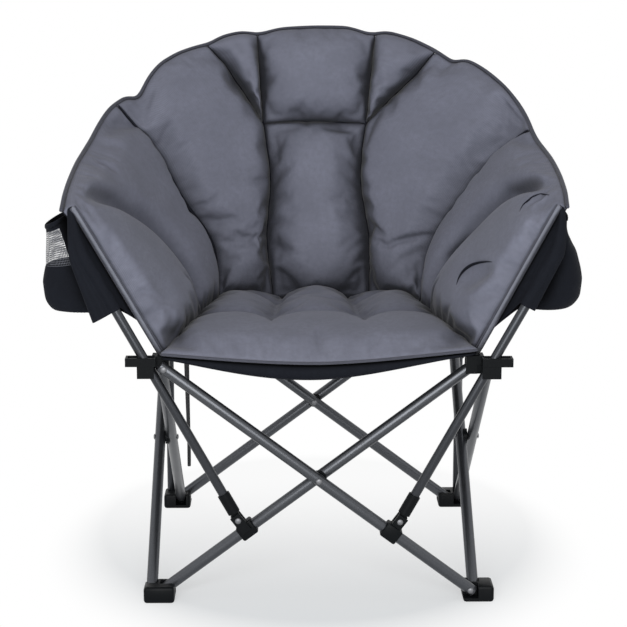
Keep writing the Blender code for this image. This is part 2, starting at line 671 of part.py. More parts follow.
def saucer_pad(name, left_seam, right_seam, level_seam=None, fold=None, steps=(PAD_STEPS, PAD_STEPS)):
    """One stuffed panel of the saucer between two seams, drawn in at a level seam or an upright fold."""
    def place(a, b, side):
        h = 0.5 + 0.5 * b
        left, right = left_seam(h), right_seam(h)
        s = left + (right - left) * (0.5 + 0.5 * a * (1 - SEAM_SHARE))
        depth = pad_depth(a, b, side)
        if level_seam and side > 0:
            depth *= 1.0 - SEAM_DRAW * math.exp(-((h - level_seam) / SEAM_SPREAD) ** 2)
        if fold and side > 0:
            at_fold = 2 * (fold(h) - left) / (right - left) - 1
            depth *= 1.0 - FOLD_DRAW * math.exp(-((a - at_fold) / FOLD_SPREAD) ** 2)
        return saucer(s, h) + saucer_normal(s, h) * depth
    return closed_pad(name, steps, place, GREY_CLOTH)


def saucer_pads():
    def seam(shares, sign):
        return lambda h: sign * seam_at(shares, h)

    def end(sign):
        return lambda h: float(sign)
    pads = {"back_centre_pad": saucer_pad("back_centre_pad", seam(INNER_SEAM, -1), seam(INNER_SEAM, 1),
                                          CENTRE_SEAM, steps=(PAD_STEPS, 2 * PAD_STEPS))}
    for side, sign in (("left", -1), ("right", 1)):
        inner = (seam(INNER_SEAM, sign), seam(OUTER_SEAM, sign))
        outer = (seam(OUTER_SEAM, sign), end(sign))
        pads[f"back_{side}_pad"] = saucer_pad(f"back_{side}_pad", *inner[::sign])
        fold = seam(WING_FOLD, sign)
        pads[f"{side}_wing_pad"] = saucer_pad(f"{side}_wing_pad", *outer[::sign], fold=fold, steps=WING_STEPS)
    return pads


# Seat

def seat_outline(a, b):
    """The seat's plan, from front (b = -1) to rear (b = 1), where its corners draw in."""
    t = 0.5 + 0.5 * b
    half = SEAT_FRONT_HALF - SEAT_TAPER * t ** 3
    y = SEAT_FRONT_Y + t * (SEAT_REAR_Y - SEAT_FRONT_Y) - SEAT_BOW * (a * t) ** 2
    y += SEAT_FRONT_BOW * (a * (1 - t)) ** 2
    return Vector((a * half, y + FRAME_Y, 0))


def puffs(t, count):
    """Rows of stuffed puffs with sewn channels between them, for t from -1 to 1."""
    place = (0.5 + 0.5 * t) * count
    within = 2 * (place - math.floor(place)) - 1 if 0 < place < count else 1.0
    ends = min(place, count - place) < 0.5
    if ends and abs(t) > 1 - 1.0 / count:
        return swell(within)
    return CHANNEL_SHARE + (1 - CHANNEL_SHARE) * swell(within)


def seat_level(a, b):
    """Height of the seat's sewn edge, which sags at the front between its corners."""
    front = max(0.0, -b - ROLL_START) / (1 - ROLL_START)
    return SEAT_Z - SEAT_ROLL * front ** 2 * (1 - a * a)


def seat_pad():
    def place(a, b, side):
        spot = seat_outline(a, b)
        rise = puffs(a, SEAT_COLUMNS) * puffs(b, SEAT_ROWS)
        spot.z = seat_level(a, b) + (PAD_EDGE + SEAT_CROWN * rise if side > 0 else -PAD_EDGE)
        return spot
    return closed_pad("seat_pad", SEAT_STEPS, place, GREY_CLOTH)


def seat_underlay():
    """The black sling sewn under the seat pad."""
    def place(a, b, side):
        spot = seat_outline(a, b)
        belly = UNDERLAY_BELLY * (1 - a * a) * (1 - b ** 4)
        spot.z = seat_level(a, b) - PAD_EDGE - 2 * FIT
        if side < 0:
            spot.z -= UNDERLAY_EDGE + belly
        return spot
    return closed_pad("seat_underlay", SEAT_STEPS, place, BLACK_CLOTH)


def seat_tab(corner):
    """A webbing tab from the seat's front corner to the top of its hub."""
    sign = CORNERS[corner][0]
    edge = seat_outline(sign, TAB_PLACE)
    top = HUB_Z + HUB_TOP + FIT
    start = corner_point(corner, TAB_REACH, 0, top)

    def place(a, b, side):
        t = 0.5 + 0.5 * a
        spot = Vector((edge.x + sign * 2 * FIT, edge.y + b * TAB_WIDTH / 2, SEAT_Z))
        on_hub = Vector((start.x, edge.y + b * TAB_WIDTH / 2, top + TAB_THICKNESS / 2))
        lift = min(1.0, t / TAB_RISE_SHARE)
        made = spot.lerp(on_hub, t)
        made.z = spot.z + (on_hub.z - spot.z) * lift + side * TAB_THICKNESS / 2
        return made
    return closed_pad(f"{corner}_seat_tab", WEB_STEPS, place, BLACK_CLOTH)


# Pouches and strap

def pouch(name, sign, size):
    """An open-topped fabric pouch that hangs outside an arm, its inner wall along the arm's slope."""
    half_depth, reach, draw, share = size
    low, high = POUCH_SPAN

    def arm(h):
        seam = seam_at(OUTER_SEAM, h)
        depth = pad_depth(2 * (share - seam) / (1 - seam) - 1, 2 * h - 1, -1)
        return saucer(sign * share, h) + saucer_normal(sign * share, h) * depth
    foot_spot, head_spot = arm(low), arm(high)
    slope = (head_spot.x - foot_spot.x) / (head_spot.z - foot_spot.z)
    spots = [arm(low + (high - low) * n / POUCH_SIDES) for n in range(POUCH_SIDES + 1)]
    base = max(sign * (spot.x - slope * (spot.z - POUCH_LOW_Z)) for spot in spots) + FIT
    middle = saucer(sign * share, (low + high) / 2).y

    def bag(part, wall, span, collection, finish):
        def place(x, y, t):
            z = span[0] + (span[1] - span[0]) * t
            up = (z - POUCH_LOW_Z) / (POUCH_TOP_Z - POUCH_LOW_Z)
            inner = base + sign * slope * (z - POUCH_LOW_Z)
            width = (PIVOT_HALF + reach - inner) * (1 - draw * up * up)
            deep = (half_depth * (POUCH_FLOOR + (1 - POUCH_FLOOR) * up) - wall) * y
            return Vector((sign * (inner + width / 2 + (width / 2 - wall) * x), middle + deep, z))
        shape = bmesh.new()
        bmesh.ops.create_circle(shape, cap_ends=True, segments=POUCH_SIDES, radius=1.0)
        ring = shape.edges[:]
        for n in range(POUCH_RINGS):
            made = bmesh.ops.extrude_edge_only(shape, edges=ring)["geom"]
            ring = [g for g in made if isinstance(g, bmesh.types.BMEdge)]
            for vert in [g for g in made if isinstance(g, bmesh.types.BMVert)]:
                vert.co.z = (n + 1) / POUCH_RINGS
        bmesh.ops.edgeloop_fill(shape, edges=ring)
        for vert in shape.verts:
            vert.co = place(*vert.co)
        mesh = mesh_from(part, shape)
        shade_round(mesh)
        return link(part, mesh, collection, finish)
    made = bag(name, 0.0, (POUCH_LOW_Z, POUCH_TOP_Z), PARTS, BLACK_CLOTH)
    inside = (POUCH_LOW_Z + POUCH_WALL, POUCH_TOP_Z + POUCH_WALL)
    combine(made, bag(name + "_inside", POUCH_WALL, inside, CUTTERS, None))
    return made


def strap_loop():
    """A narrow webbing loop that hangs from the rear left hub."""
    curve = bpy.data.curves.new("strap_route", "CURVE")
    curve.dimensions = "3D"
    curve.bevel_depth = STRAP_RADIUS
    curve.bevel_resolution = 2
    curve.use_fill_caps = True
    spline = curve.splines.new("POLY")
    points = [corner_point("rear_left", -u, -v, HUB_Z + w) for u, v, w in STRAP_ROUTE]
    count = STRAP_STEPS * (len(points) - 1)
    spline.points.add(count)
    for n in range(count + 1):
        place = n / STRAP_STEPS
        k = min(int(place), len(points) - 2)
        f = place - k
        p1, p2 = points[k], points[k + 1]
        p0 = points[k - 1] if k else 2 * p1 - p2
        p3 = points[k + 2] if k + 2 < len(points) else 2 * p2 - p1
        spot = 0.5 * (2 * p1 + (p2 - p0) * f + (2 * p0 - 5 * p1 + 4 * p2 - p3) * f * f
                      + (3 * p1 - p0 - 3 * p2 + p3) * f ** 3)
        spline.points[n].co = (*spot, 1)
    made = bpy.data.objects.new("rear_left_strap_loop", curve)
    PARTS.objects.link(made)
    curve.materials.append(BLACK_CLOTH)
    return made


def main():
    bars = {(side, inner): cross_bar(side, inner) for side in SIDES for inner in (True, False)}
    feet = {corner: foot(corner) for corner in CORNERS}
    hubs = {corner: hub(corner) for corner in CORNERS}
    pads = saucer_pads()

    def bar_body(side, inner, at_centre):
        low, high = bar_ends(side, inner)[2:]
        made = body(f"{side}_{'inner' if inner else 'outer'}_bar", (low + high) / 2 if at_centre else low)
        carry(made, bars[side, inner])
        if inner:
            carry(made, centre_rivet(side), crossing_spacer(side))
        return made

    def moulding_body(name, pieces, side, inner, at_foot):
        ends = bar_ends(side, inner)
        made = body(name, ends[2] if at_foot else ends[3])
        carry(made, *pieces)
        return made

    rear_left = body("rear_left_corner", corner_point("rear_left", 0, 0, 0))
    carry(rear_left, *feet["rear_left"], rear_pole("rear_left"), rear_pocket("rear_left"))
    carry(rear_left, pads["back_centre_pad"], pads["back_left_pad"], pads["left_wing_pad"])
    rear_right = moulding_body("rear_right_corner", feet["rear_right"], "rear", True, True)
    carry(rear_right, rear_pole("rear_right"), rear_pocket("rear_right"))
    carry(rear_right, pads["back_right_pad"], pads["right_wing_pad"])
    moulding_body("front_left_foot_body", feet["front_left"], "left", False, True)
    moulding_body("front_right_foot_body", feet["front_right"], "front", False, True)

    for side, inner, at_centre in (("rear", False, False), ("rear", True, True), ("left", True, False),
                                   ("left", False, True), ("front", True, False), ("front", False, True),
                                   ("right", False, False), ("right", True, True)):
        made = bar_body(side, inner, at_centre)
        if side == "front":
            carry(made, pole_clamp("front_left" if inner else "front_right"))

    for corner, side, inner in (("rear_left", "rear", True), ("rear_right", "rear", False),
                                ("front_left", "left", True), ("front_right", "front", True)):
        made = moulding_body(f"{corner}_hub_body", hubs[corner], side, inner, False)
        if corner == "rear_left":
            carry(made, strap_loop())
        if corner.startswith("front"):
            carry(made, seat_tab(corner))

    pouches = {"front_left": pouch("left_cup_pouch", -1, CUP),
               "front_right": pouch("right_storage_pouch", 1, POCKET)}
    for corner, bag in pouches.items():
        made = body(f"{corner}_pole_body", pole_line(corner)[0])
        carry(made, front_pole(corner), pole_ferrule(corner), clamp_pin(corner), front_sleeve(corner), bag)

    seat = body("seat", smooth_through(CREASE, 0.0) + Vector((0, FRAME_Y, 0)))
    carry(seat, seat_pad(), seat_underlay())


main()
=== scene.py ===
"""Looks of a folding camping chair: quilted saucer and seat, steel frame, mouldings, pouches and strap."""
import json
import math
from collections import namedtuple

import bmesh
import bpy
import numpy as np
from bpy.props import FloatProperty, FloatVectorProperty, IntProperty, PointerProperty
from mathutils import Matrix, Vector, noise
from mathutils.bvhtree import BVHTree


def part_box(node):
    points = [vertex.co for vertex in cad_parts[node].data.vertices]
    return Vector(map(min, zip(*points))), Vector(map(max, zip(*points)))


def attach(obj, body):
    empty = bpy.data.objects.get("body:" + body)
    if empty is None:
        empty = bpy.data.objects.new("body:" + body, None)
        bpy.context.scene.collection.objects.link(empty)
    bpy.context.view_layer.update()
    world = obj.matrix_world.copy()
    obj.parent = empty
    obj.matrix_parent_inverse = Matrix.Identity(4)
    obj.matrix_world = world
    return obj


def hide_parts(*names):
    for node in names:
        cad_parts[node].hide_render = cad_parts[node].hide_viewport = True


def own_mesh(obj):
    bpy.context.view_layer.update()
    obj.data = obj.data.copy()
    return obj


bl_info = {
    "name": "Folding Camping Chair",
    "version": (1, 0, 0),
    "blender": (4, 5, 0),
    "location": "View3D > Sidebar > Chair",
    "description": "Dresses a packed folding camping chair with quilted cloth, steel, nylon and webbing",
    "category": "Object",
}

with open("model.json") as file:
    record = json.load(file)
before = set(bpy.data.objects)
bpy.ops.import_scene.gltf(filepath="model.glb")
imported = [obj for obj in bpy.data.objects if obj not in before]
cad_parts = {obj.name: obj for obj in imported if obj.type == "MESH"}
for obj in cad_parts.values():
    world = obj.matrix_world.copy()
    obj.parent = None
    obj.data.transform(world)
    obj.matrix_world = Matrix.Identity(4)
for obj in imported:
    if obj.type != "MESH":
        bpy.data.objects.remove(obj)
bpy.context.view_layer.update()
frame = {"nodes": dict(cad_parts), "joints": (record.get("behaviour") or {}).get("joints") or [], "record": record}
JOINT_AT = {joint["name"]: Vector(joint["pos_m"]) for joint in frame["joints"]}
PIVOT_HALF = -JOINT_AT["fold"].x
HUB_Z = JOINT_AT["rear_left_hub_pivot"].z
FRAME_Y = JOINT_AT["left_crossing"].y
NODES = sorted(frame["nodes"])
BODY_OF = {node: body for body, group in frame["record"]["behaviour"]["bodies"].items() for node in group}

MM = 0.001
UP = Vector((0, 0, 1))
REARWARD = Vector((0, 1, 0))
HOLLOW_SHADE_REACH = 130 * MM                   # reach of the shade painted into the cloth's hollows
WAVE_PERIOD = math.tau / 20         # length of one band of a Wave texture at scale 1
MIX_A, MIX_B, MIX_RESULT = 6, 7, 2  # colour sockets of a Mix node

# Rows of the saucer's right half, from the middle of the back to the arm's front end. Rim: shares of the
# pivots' half spacing and of rim_side across, of the half spacing and of rim_back to the rear, and of
# rim_rise
RIM_SHARES = ((0.0, 0.0, 1.0, 1.0, 1.0), (0.556, 0.0, 1.0, 0.88, 0.981), (1.0, 0.08, 1.0, 0.12, 0.892),
              (1.0, 0.74, 0.516, 0.0, 0.742), (1.0, 1.0, -0.198, 0.0, 0.606), (1.0, 1.01, -0.992, 0.0, 0.512))
# Crease: shares of the pivots' half spacing both ways, and of crease_rise
CREASE_SHARES = ((0.0, 0.921, 1.0), (0.417, 0.881, 1.0), (0.698, 0.655, 1.0),
                 (0.841, 0.198, 1.0), (0.910, -0.377, 1.06), (1.044, -0.992, 0.72))
# Seams of the left (-1) and right (1) half, as shares of the half width at even heights from crease to rim
CENTRE_SEAM = {-1: (0.147, 0.153, 0.132, 0.148, 0.152), 1: (0.195, 0.178, 0.140, 0.152, 0.165)}
THIRD_SEAM = {-1: (0.435, 0.385, 0.462, 0.510, 0.590), 1: (0.505, 0.452, 0.505, 0.580, 0.680)}
WING_FOLD = {-1: (0.660, 0.650, 0.700, 0.820, 0.985), 1: (0.620, 0.625, 0.685, 0.775, 0.955)}
# Seams of the wedge panels, from the level seam up
WEDGE_SEAM = {-1: (0.144, 0.192, 0.243, 0.298), 1: (0.147, 0.222, 0.290, 0.340)}
LEVEL_SEAM = 0.70
WEDGE_START = 0.002         # where a wedge panel starts over the level seam
WEDGE_LEAST = 0.012         # least width of a wedge panel, reached within WEDGE_RUN
WEDGE_RUN = 0.03
FLAP = -0.05                # how far the panels run on below the crease, behind the seat
LAP = 0.0025                # how far two panels lap at the level seam
WING_SEAM_SHADOW = 1.7             # how bold the dark line of a wing's seam is; it is painted shadow of the wing's bulge on the panel beside it
# The rim's scallops: place along the rim, and how far it stands out there in millimetres
SCALLOPS = ((-1.0, -8), (-0.965, 3), (-0.92, 6), (-0.83, 5), (-0.72, -2), (-0.61, 3), (-0.55, -5),
            (-0.515, -27), (-0.48, -6), (-0.44, 4), (-0.38, 3), (-0.32, -2), (-0.29, -5), (-0.25, -1),
            (-0.20, -2), (-0.145, -10), (-0.09, -4), (0.0, -2), (0.09, -2), (0.15, -10), (0.20, -2),
            (0.27, -2), (0.34, -5), (0.395, -10), (0.43, 8), (0.49, 13), (0.55, 13), (0.61, 7),
            (0.66, -1), (0.685, -8), (0.72, -9), (0.80, 2), (0.90, 9), (0.965, 8), (1.0, -6))
# Tucks of the wings, as seen from the front: their ends across and over the hubs, depth and half width
TUCKS = (((0.234, 0.111), (0.287, 0.162), 0.013, 0.0085), ((0.332, 0.243), (0.378, 0.274), 0.007, 0.0080),
         ((0.353, 0.266), (0.390, 0.298), 0.004, 0.0080), ((-0.393, 0.320), (-0.338, 0.286), 0.004, 0.0080),
         ((-0.385, 0.278), (-0.339, 0.236), 0.005, 0.0085), ((-0.355, 0.295), (-0.307, 0.233), 0.004, 0.0090),
         ((-0.273, 0.138), (-0.237, 0.086), 0.005, 0.0095))
TUCK_BOW = 0.006            # how far a tuck's dark line of painted shade bows
DEEP_TUCK = 0.0065          # tucks deeper than this show a dark line of painted shade
ARM_LEAN = {-1: 0.005, 1: 0.014}    # how far the arms' ends lean in
TIP_ROLL = {-1: 0.018, 1: 0.012}    # thickness of the rolled cloth at the arms' ends

# Sleeves of the front poles: foot over the hubs on each side, where they lie flat, and flap at foot and head
SLEEVE_FOOT = {-1: 0.094, 1: 0.102}
SLEEVE_BEND = 0.56
SLEEVE_FLAP = {-1: (0.044, 0.010), 1: (0.018, 0.010)}
# How much lower a sleeve's sewn edge ends, as a share of the arm's front edge
SLEEVE_TAIL = {-1: 0.20, 1: 0.27}
POLE_SHOWN = 0.178          # top of a front pole inside its sleeve, over the hubs

# Strap loop, from the rear left hub's pivots: inward, forward and up
STRAP_ROUTE = ((0.0040, 0.0079, 0.000), (0.0040, 0.0160, -0.001), (0.0045, 0.0270, -0.013),
               (0.0060, 0.0350, -0.048), (0.0080, 0.0410, -0.098), (0.0100, 0.0470, -0.163),
               (0.0120, 0.0520, -0.223), (0.0135, 0.0590, -0.266), (0.0140, 0.0710, -0.289),
               (0.0145, 0.0860, -0.290), (0.0150, 0.0950, -0.268), (0.0150, 0.0940, -0.223),
               (0.0140, 0.0840, -0.158), (0.0130, 0.0700, -0.093), (0.0120, 0.0520, -0.043),
               (0.0110, 0.0340, -0.015), (0.0108, 0.0180, -0.007), (0.0108, 0.0079, -0.007))


def linear(code):
    """An sRGB hex colour as linear RGB."""
    parts = [int(code[n:n + 2], 16) / 255 for n in (1, 3, 5)]
    return tuple(c / 12.92 if c <= 0.04045 else ((c + 0.055) / 1.055) ** 2.4 for c in parts)


def colour(label, code, about):
    return FloatVectorProperty(name=label, description=about, subtype="COLOR", size=3, min=0.0, max=1.0,
                               default=linear(code))


def length(label, metres, about):
    return FloatProperty(name=label, description=about, default=metres, unit="LENGTH", precision=4)


class ChairCloth(bpy.types.PropertyGroup):
    """Sizes and colours of the sewn pieces."""
    rim_side: length("Arm spread", 0.153, "How far the arms stand outside the pivots")
    rim_back: length("Back overhang", 0.100, "How far the rim stands behind the rear pivots")
    rim_rise: length("Rim rise", 0.520, "Top of the rim over the hubs")
    crease_rise: length("Crease rise", 0.034, "Crease of the saucer over the hubs")
    crown: length("Crown", 0.036, "Rise of a stuffed panel over its seams before it swells")
    piping: length("Piping radius", 0.0038, "Radius of the piping on the rim")
    band_half: length("Band half width", 0.0044, "Half the width of the binding on an arm's front edge")
    seat_crown: length("Seat crown", 0.030, "Rise of a seat puff over its channels")
    pressure: FloatProperty(name="Filling pressure", description="Pressure that swells the panels",
                            default=8.0)
    slack: FloatProperty(name="Slack", description="Spare cloth that puckers at the seams", default=0.06)
    frames: IntProperty(name="Swelling frames", description="Simulated frames", default=20, min=2)
    grey: colour("Slate grey", "#6F717E", "Outer polyester")
    band: colour("Binding", "#73757F", "Binding on the arms' front edges")
    pipe: colour("Piping", "#4A4B54", "Piping on the rim")
    # The seam colour is painted shade: it colours the dark lines along the seams and in the tucks, which stand for
    # the shade at the bottoms of their valleys
    seam: colour("Seam", "#25262E", "Turned-in cloth at the bottom of the seams")
    black: colour("Black cloth", "#17191F", "Black polyester")
    net: colour("Net", "#5C5E66", "Net of the cup pouch")
    webbing: colour("Webbing", "#17181B", "Straps and tabs")


class ChairFrameFinish(bpy.types.PropertyGroup):
    """Sizes and colours of the frame's finish."""
    tube_sides: IntProperty(name="Tube sides", description="Facets round a tube", default=48, min=12)
    edge: length("Moulded edge", 0.0009, "Edge radius of the mouldings")
    steel: colour("Powder coat", "#4A4C50", "Satin gunmetal coat on the tubes")
    pole: colour("Pole coat", "#36383C", "Darker coat on the poles")
    rivet: colour("Rivet", "#77787B", "Plated rivets")
    nylon: colour("Nylon", "#0E1012", "Black mouldings")


class ChairStage(bpy.types.PropertyGroup):
    """Camera, floor and light."""
    lens: FloatProperty(name="Lens", description="Focal length in millimetres", default=108.2)
    eye: FloatVectorProperty(name="Camera", description="Camera from the frame's centre",
                             subtype="TRANSLATION", default=(-0.049, -3.265, 1.086))
    pitch: FloatProperty(name="Pitch", description="Camera's downward tilt", subtype="ANGLE", default=0.19744)
    yaw: FloatProperty(name="Yaw", description="Camera's turn", subtype="ANGLE", default=-0.01339)
    floor: colour("Floor", "#EAF0F4", "Pale floor")
    key: FloatProperty(name="Key light", description="Watts of the key light", default=94.0)
    fill: FloatProperty(name="Fill light", description="Watts of each side light", default=4.0)
    sky: FloatProperty(name="Ambient", description="Strength of the surrounding light", default=0.30)


# Materials

def join(tree, node, values=None, links=None):
    """Gives a node's sockets their values and links."""
    for key, value in (values or {}).items():
        node.inputs[key].default_value = value
    for key, socket in (links or {}).items():
        tree.links.new(socket, node.inputs[key])


def add(tree, kind, values=None, links=None, stops=(), **settings):
    """One node with its settings, its sockets' values and links and, on a colour ramp, its stops."""
    made = tree.nodes.new(kind)
    for key, value in settings.items():
        setattr(made, key, value)
    join(tree, made, values, links)
    for n, (place, shade) in enumerate(stops):
        made.color_ramp.elements[n].position = place
        made.color_ramp.elements[n].color = (*shade, 1)
    return made


def shades(base, low, high, start=0.0, end=1.0):
    """A ramp's two stops: a darker and a lighter shade of a colour."""
    return (start, [low * c for c in base]), (end, [high * c for c in base])


def surface(name):
    """A material by its name, with its tree and its Principled shader if it is new."""
    made = bpy.data.materials.get(name)
    if made:
        return made, None, None
    made = bpy.data.materials.new(name)
    made.use_nodes = True
    return made, made.node_tree, made.node_tree.nodes["Principled BSDF"]


def woven_polyester(name, base, pitch, depth, sheen):
    """Plain-woven polyester: matt, with a fine over-and-under grid, faint slubs and a soft sheen at grazing
    angles, and shade painted into its hollows at its seams. The threads are about 0.5 mm apart and are drawn
    coarser, to show in the render."""
    made, tree, shader = surface(name)
    if not tree:
        return made
    place = {"Vector": add(tree, "ShaderNodeAttribute", attribute_name="cloth").outputs["Vector"]}
    threads = {"Scale": WAVE_PERIOD / pitch, "Distortion": 0.6, "Detail": 1.0, "Detail Scale": 0.4}
    bands = [add(tree, "ShaderNodeTexWave", threads, place, bands_direction=way).outputs["Fac"]
             for way in "XY"]
    weave = add(tree, "ShaderNodeMath", links={0: bands[0], 1: bands[1]}, operation="MAXIMUM").outputs[0]
    slub = add(tree, "ShaderNodeTexNoise", {"Scale": 1 / (9 * MM), "Detail": 4.0, "Roughness": 0.65},
               place).outputs["Fac"]
    patch = add(tree, "ShaderNodeTexNoise", {"Scale": 1 / (70 * MM), "Detail": 2.0}, place).outputs["Fac"]
    tone = add(tree, "ShaderNodeMath", links={0: slub, 1: patch}, operation="MULTIPLY").outputs[0]
    ramp = add(tree, "ShaderNodeValToRGB", links={"Fac": tone}, stops=shades(base, 0.88, 1.09, 0.12, 0.42))
    thread = add(tree, "ShaderNodeMix", {"Factor": 0.16}, {MIX_A: ramp.outputs["Color"], MIX_B: weave},
                 data_type="RGBA", blend_type="OVERLAY").outputs[MIX_RESULT]
    # Painted shade: the colour is darkened where an ambient occlusion node finds the cloth in a hollow
    occlusion = add(tree, "ShaderNodeAmbientOcclusion", {"Distance": HOLLOW_SHADE_REACH}, samples=8).outputs["AO"]
    shading = {"From Min": 0.36, "From Max": 0.93, "To Min": 0.15, "To Max": 1.06}
    shade = add(tree, "ShaderNodeMapRange", shading, {"Value": occlusion}).outputs[0]
    shaded = add(tree, "ShaderNodeMix", {"Factor": 1.0}, {MIX_A: thread, MIX_B: shade}, data_type="RGBA",
                 blend_type="MULTIPLY").outputs[MIX_RESULT]
    bump = add(tree, "ShaderNodeBump", {"Strength": 0.35, "Distance": depth}, {"Height": weave})
    join(tree, shader, {"Roughness": 0.82, "Sheen Weight": sheen, "Sheen Roughness": 0.45,
                        "Specular IOR Level": 0.08},
         {"Base Color": shaded, "Normal": bump.outputs["Normal"]})
    return made


def powder_coat(name, base):
    """Satin powder coat on drawn steel tube: a metallic dark grey with long soft highlights and a faint
    orange peel. The peel is near 0.5 mm and is drawn at 2 mm, to show in the render."""
    made, tree, shader = surface(name)
    if not tree:
        return made
    place = {"Vector": add(tree, "ShaderNodeTexCoord").outputs["Object"]}
    peel = add(tree, "ShaderNodeTexNoise", {"Scale": 1 / (2 * MM), "Detail": 2.0}, place).outputs["Fac"]
    cloud = add(tree, "ShaderNodeTexNoise", {"Scale": 1 / (45 * MM), "Detail": 3.0}, place).outputs["Fac"]
    gloss = add(tree, "ShaderNodeMapRange", {"To Min": 0.26, "To Max": 0.40}, {"Value": cloud}).outputs[0]
    ramp = add(tree, "ShaderNodeValToRGB", links={"Fac": peel}, stops=shades(base, 0.90, 1.12, 0.30, 0.70))
    bump = add(tree, "ShaderNodeBump", {"Strength": 0.12, "Distance": 0.2 * MM}, {"Height": peel})
    join(tree, shader, {"Metallic": 0.75},
         {"Base Color": ramp.outputs["Color"], "Roughness": gloss, "Normal": bump.outputs["Normal"]})
    return made


def plated_steel(base):
    """Zinc-plated rivet steel: a grey metal with a dull, slightly cloudy shine."""
    made, tree, shader = surface("plated_rivet_steel_finish")
    if not tree:
        return made
    place = {"Vector": add(tree, "ShaderNodeTexCoord").outputs["Object"]}
    cloud = add(tree, "ShaderNodeTexNoise", {"Scale": 1 / (3 * MM), "Detail": 3.0}, place).outputs["Fac"]
    gloss = add(tree, "ShaderNodeMapRange", {"To Min": 0.42, "To Max": 0.60}, {"Value": cloud}).outputs[0]
    join(tree, shader, {"Base Color": (*base, 1), "Metallic": 1.0}, {"Roughness": gloss})
    return made


def moulded_nylon(base):
    """Black moulded nylon: a fine spark-eroded grain that spreads its highlights. The grain is near 0.3 mm
    and is drawn at 1 mm, to show in the render."""
    made, tree, shader = surface("black_moulded_nylon")
    if not tree:
        return made
    place = {"Vector": add(tree, "ShaderNodeTexCoord").outputs["Object"]}
    grain = add(tree, "ShaderNodeTexNoise", {"Scale": 1 / (1 * MM), "Detail": 3.0, "Roughness": 0.6},
                place).outputs["Fac"]
    ramp = add(tree, "ShaderNodeValToRGB", links={"Fac": grain}, stops=shades(base, 0.8, 1.3))
    gloss = add(tree, "ShaderNodeMapRange", {"To Min": 0.34, "To Max": 0.52}, {"Value": grain}).outputs[0]
    bump = add(tree, "ShaderNodeBump", {"Strength": 0.25, "Distance": 0.15 * MM}, {"Height": grain})
    join(tree, shader, {"Specular IOR Level": 0.08},
         {"Base Color": ramp.outputs["Color"], "Roughness": gloss, "Normal": bump.outputs["Normal"]})
    return made


def ribbed_webbing(base):
    """Woven nylon webbing: ribs across the strap at 1.6 mm, lighter on their crowns, nearly matt."""
    made, tree, shader = surface("black_ribbed_webbing")
    if not tree:
        return made
    place = {"Vector": add(tree, "ShaderNodeAttribute", attribute_name="cloth").outputs["Vector"]}
    ribs = add(tree, "ShaderNodeTexWave", {"Scale": WAVE_PERIOD / (1.6 * MM), "Distortion": 0.4}, place,
               bands_direction="Y").outputs["Fac"]
    ramp = add(tree, "ShaderNodeValToRGB", links={"Fac": ribs}, stops=shades(base, 0.6, 1.5))
    bump = add(tree, "ShaderNodeBump", {"Strength": 0.5, "Distance": 0.3 * MM}, {"Height": ribs})
    join(tree, shader, {"Roughness": 0.62},
         {"Base Color": ramp.outputs["Color"], "Normal": bump.outputs["Normal"]})
    return made


def knitted_net(base):
    """Knitted polyester net: dull round cords, flecked at 1.5 mm as their knots make them."""
    made, tree, shader = surface("grey_knitted_net")
    if not tree:
        return made
    place = {"Vector": add(tree, "ShaderNodeTexCoord").outputs["Object"]}
    knots = add(tree, "ShaderNodeTexNoise", {"Scale": 1 / (1.5 * MM)}, place).outputs["Fac"]
    ramp = add(tree, "ShaderNodeValToRGB", links={"Fac": knots}, stops=shades(base, 0.7, 1.2))
    join(tree, shader, {"Roughness": 0.7}, {"Base Color": ramp.outputs["Color"]})
    return made


def seen_directly(tree):
    """1 for a ray that shows its target to the camera: straight, mirrored or through a clear piece."""
    rays = add(tree, "ShaderNodeLightPath").outputs
    seen = rays["Is Camera Ray"]
    for kind in ("Is Glossy Ray", "Is Transmission Ray"):
        seen = add(tree, "ShaderNodeMath", links={0: seen, 1: rays[kind]}, operation="MAXIMUM").outputs[0]
    return seen


def pale_floor(base):
    """Matt pale studio floor, which keeps the shadow near the chair and fades to plain white further out."""
    made, tree, shader = surface("pale_studio_floor")
    if not tree:
        return made
    place = add(tree, "ShaderNodeTexCoord").outputs["Object"]
    pool = add(tree, "ShaderNodeVectorMath", {1: (1.0, 0.8, 0.0)}, {0: place},
               operation="MULTIPLY").outputs[0]
    far = add(tree, "ShaderNodeVectorMath", links={0: pool}, operation="LENGTH").outputs["Value"]
    fade = add(tree, "ShaderNodeMapRange", {"From Min": 0.18, "From Max": 0.50}, {"Value": far},
               interpolation_type="SMOOTHSTEP").outputs[0]
    depth = add(tree, "ShaderNodeSeparateXYZ", links={0: place}).outputs["Y"]
    lifting = {"From Min": -0.60, "From Max": 0.45, "To Min": 0.35, "To Max": 0.93}
    lift = add(tree, "ShaderNodeMapRange", lifting, {"Value": depth},
               interpolation_type="SMOOTHSTEP").outputs[0]
    fade = add(tree, "ShaderNodeMath", links={0: fade, 1: lift}, operation="MAXIMUM").outputs[0]
    seen = seen_directly(tree)
    share = add(tree, "ShaderNodeMath", links={0: seen, 1: fade}, operation="MULTIPLY").outputs[0]
    white = add(tree, "ShaderNodeEmission", {"Color": (1, 1, 1, 1), "Strength": 1.0}).outputs[0]
    both = add(tree, "ShaderNodeMixShader", links={0: share, 1: shader.outputs[0], 2: white}).outputs[0]
    join(tree, shader, {"Base Color": (*base, 1), "Roughness": 0.9, "Specular IOR Level": 0.1})
    join(tree, tree.nodes["Material Output"], links={"Surface": both})
    return made


def grey_cloth(cloth):
    return woven_polyester("slate_grey_woven_polyester", cloth.grey, 1.8 * MM, 0.25 * MM, 0.12)


def black_cloth(cloth):
    return woven_polyester("black_woven_polyester", cloth.black, 1.8 * MM, 0.25 * MM, 0.0)


def piping_cloth(cloth):
    return woven_polyester("dark_grey_piping", cloth.pipe, 1.4 * MM, 0.2 * MM, 0.2)


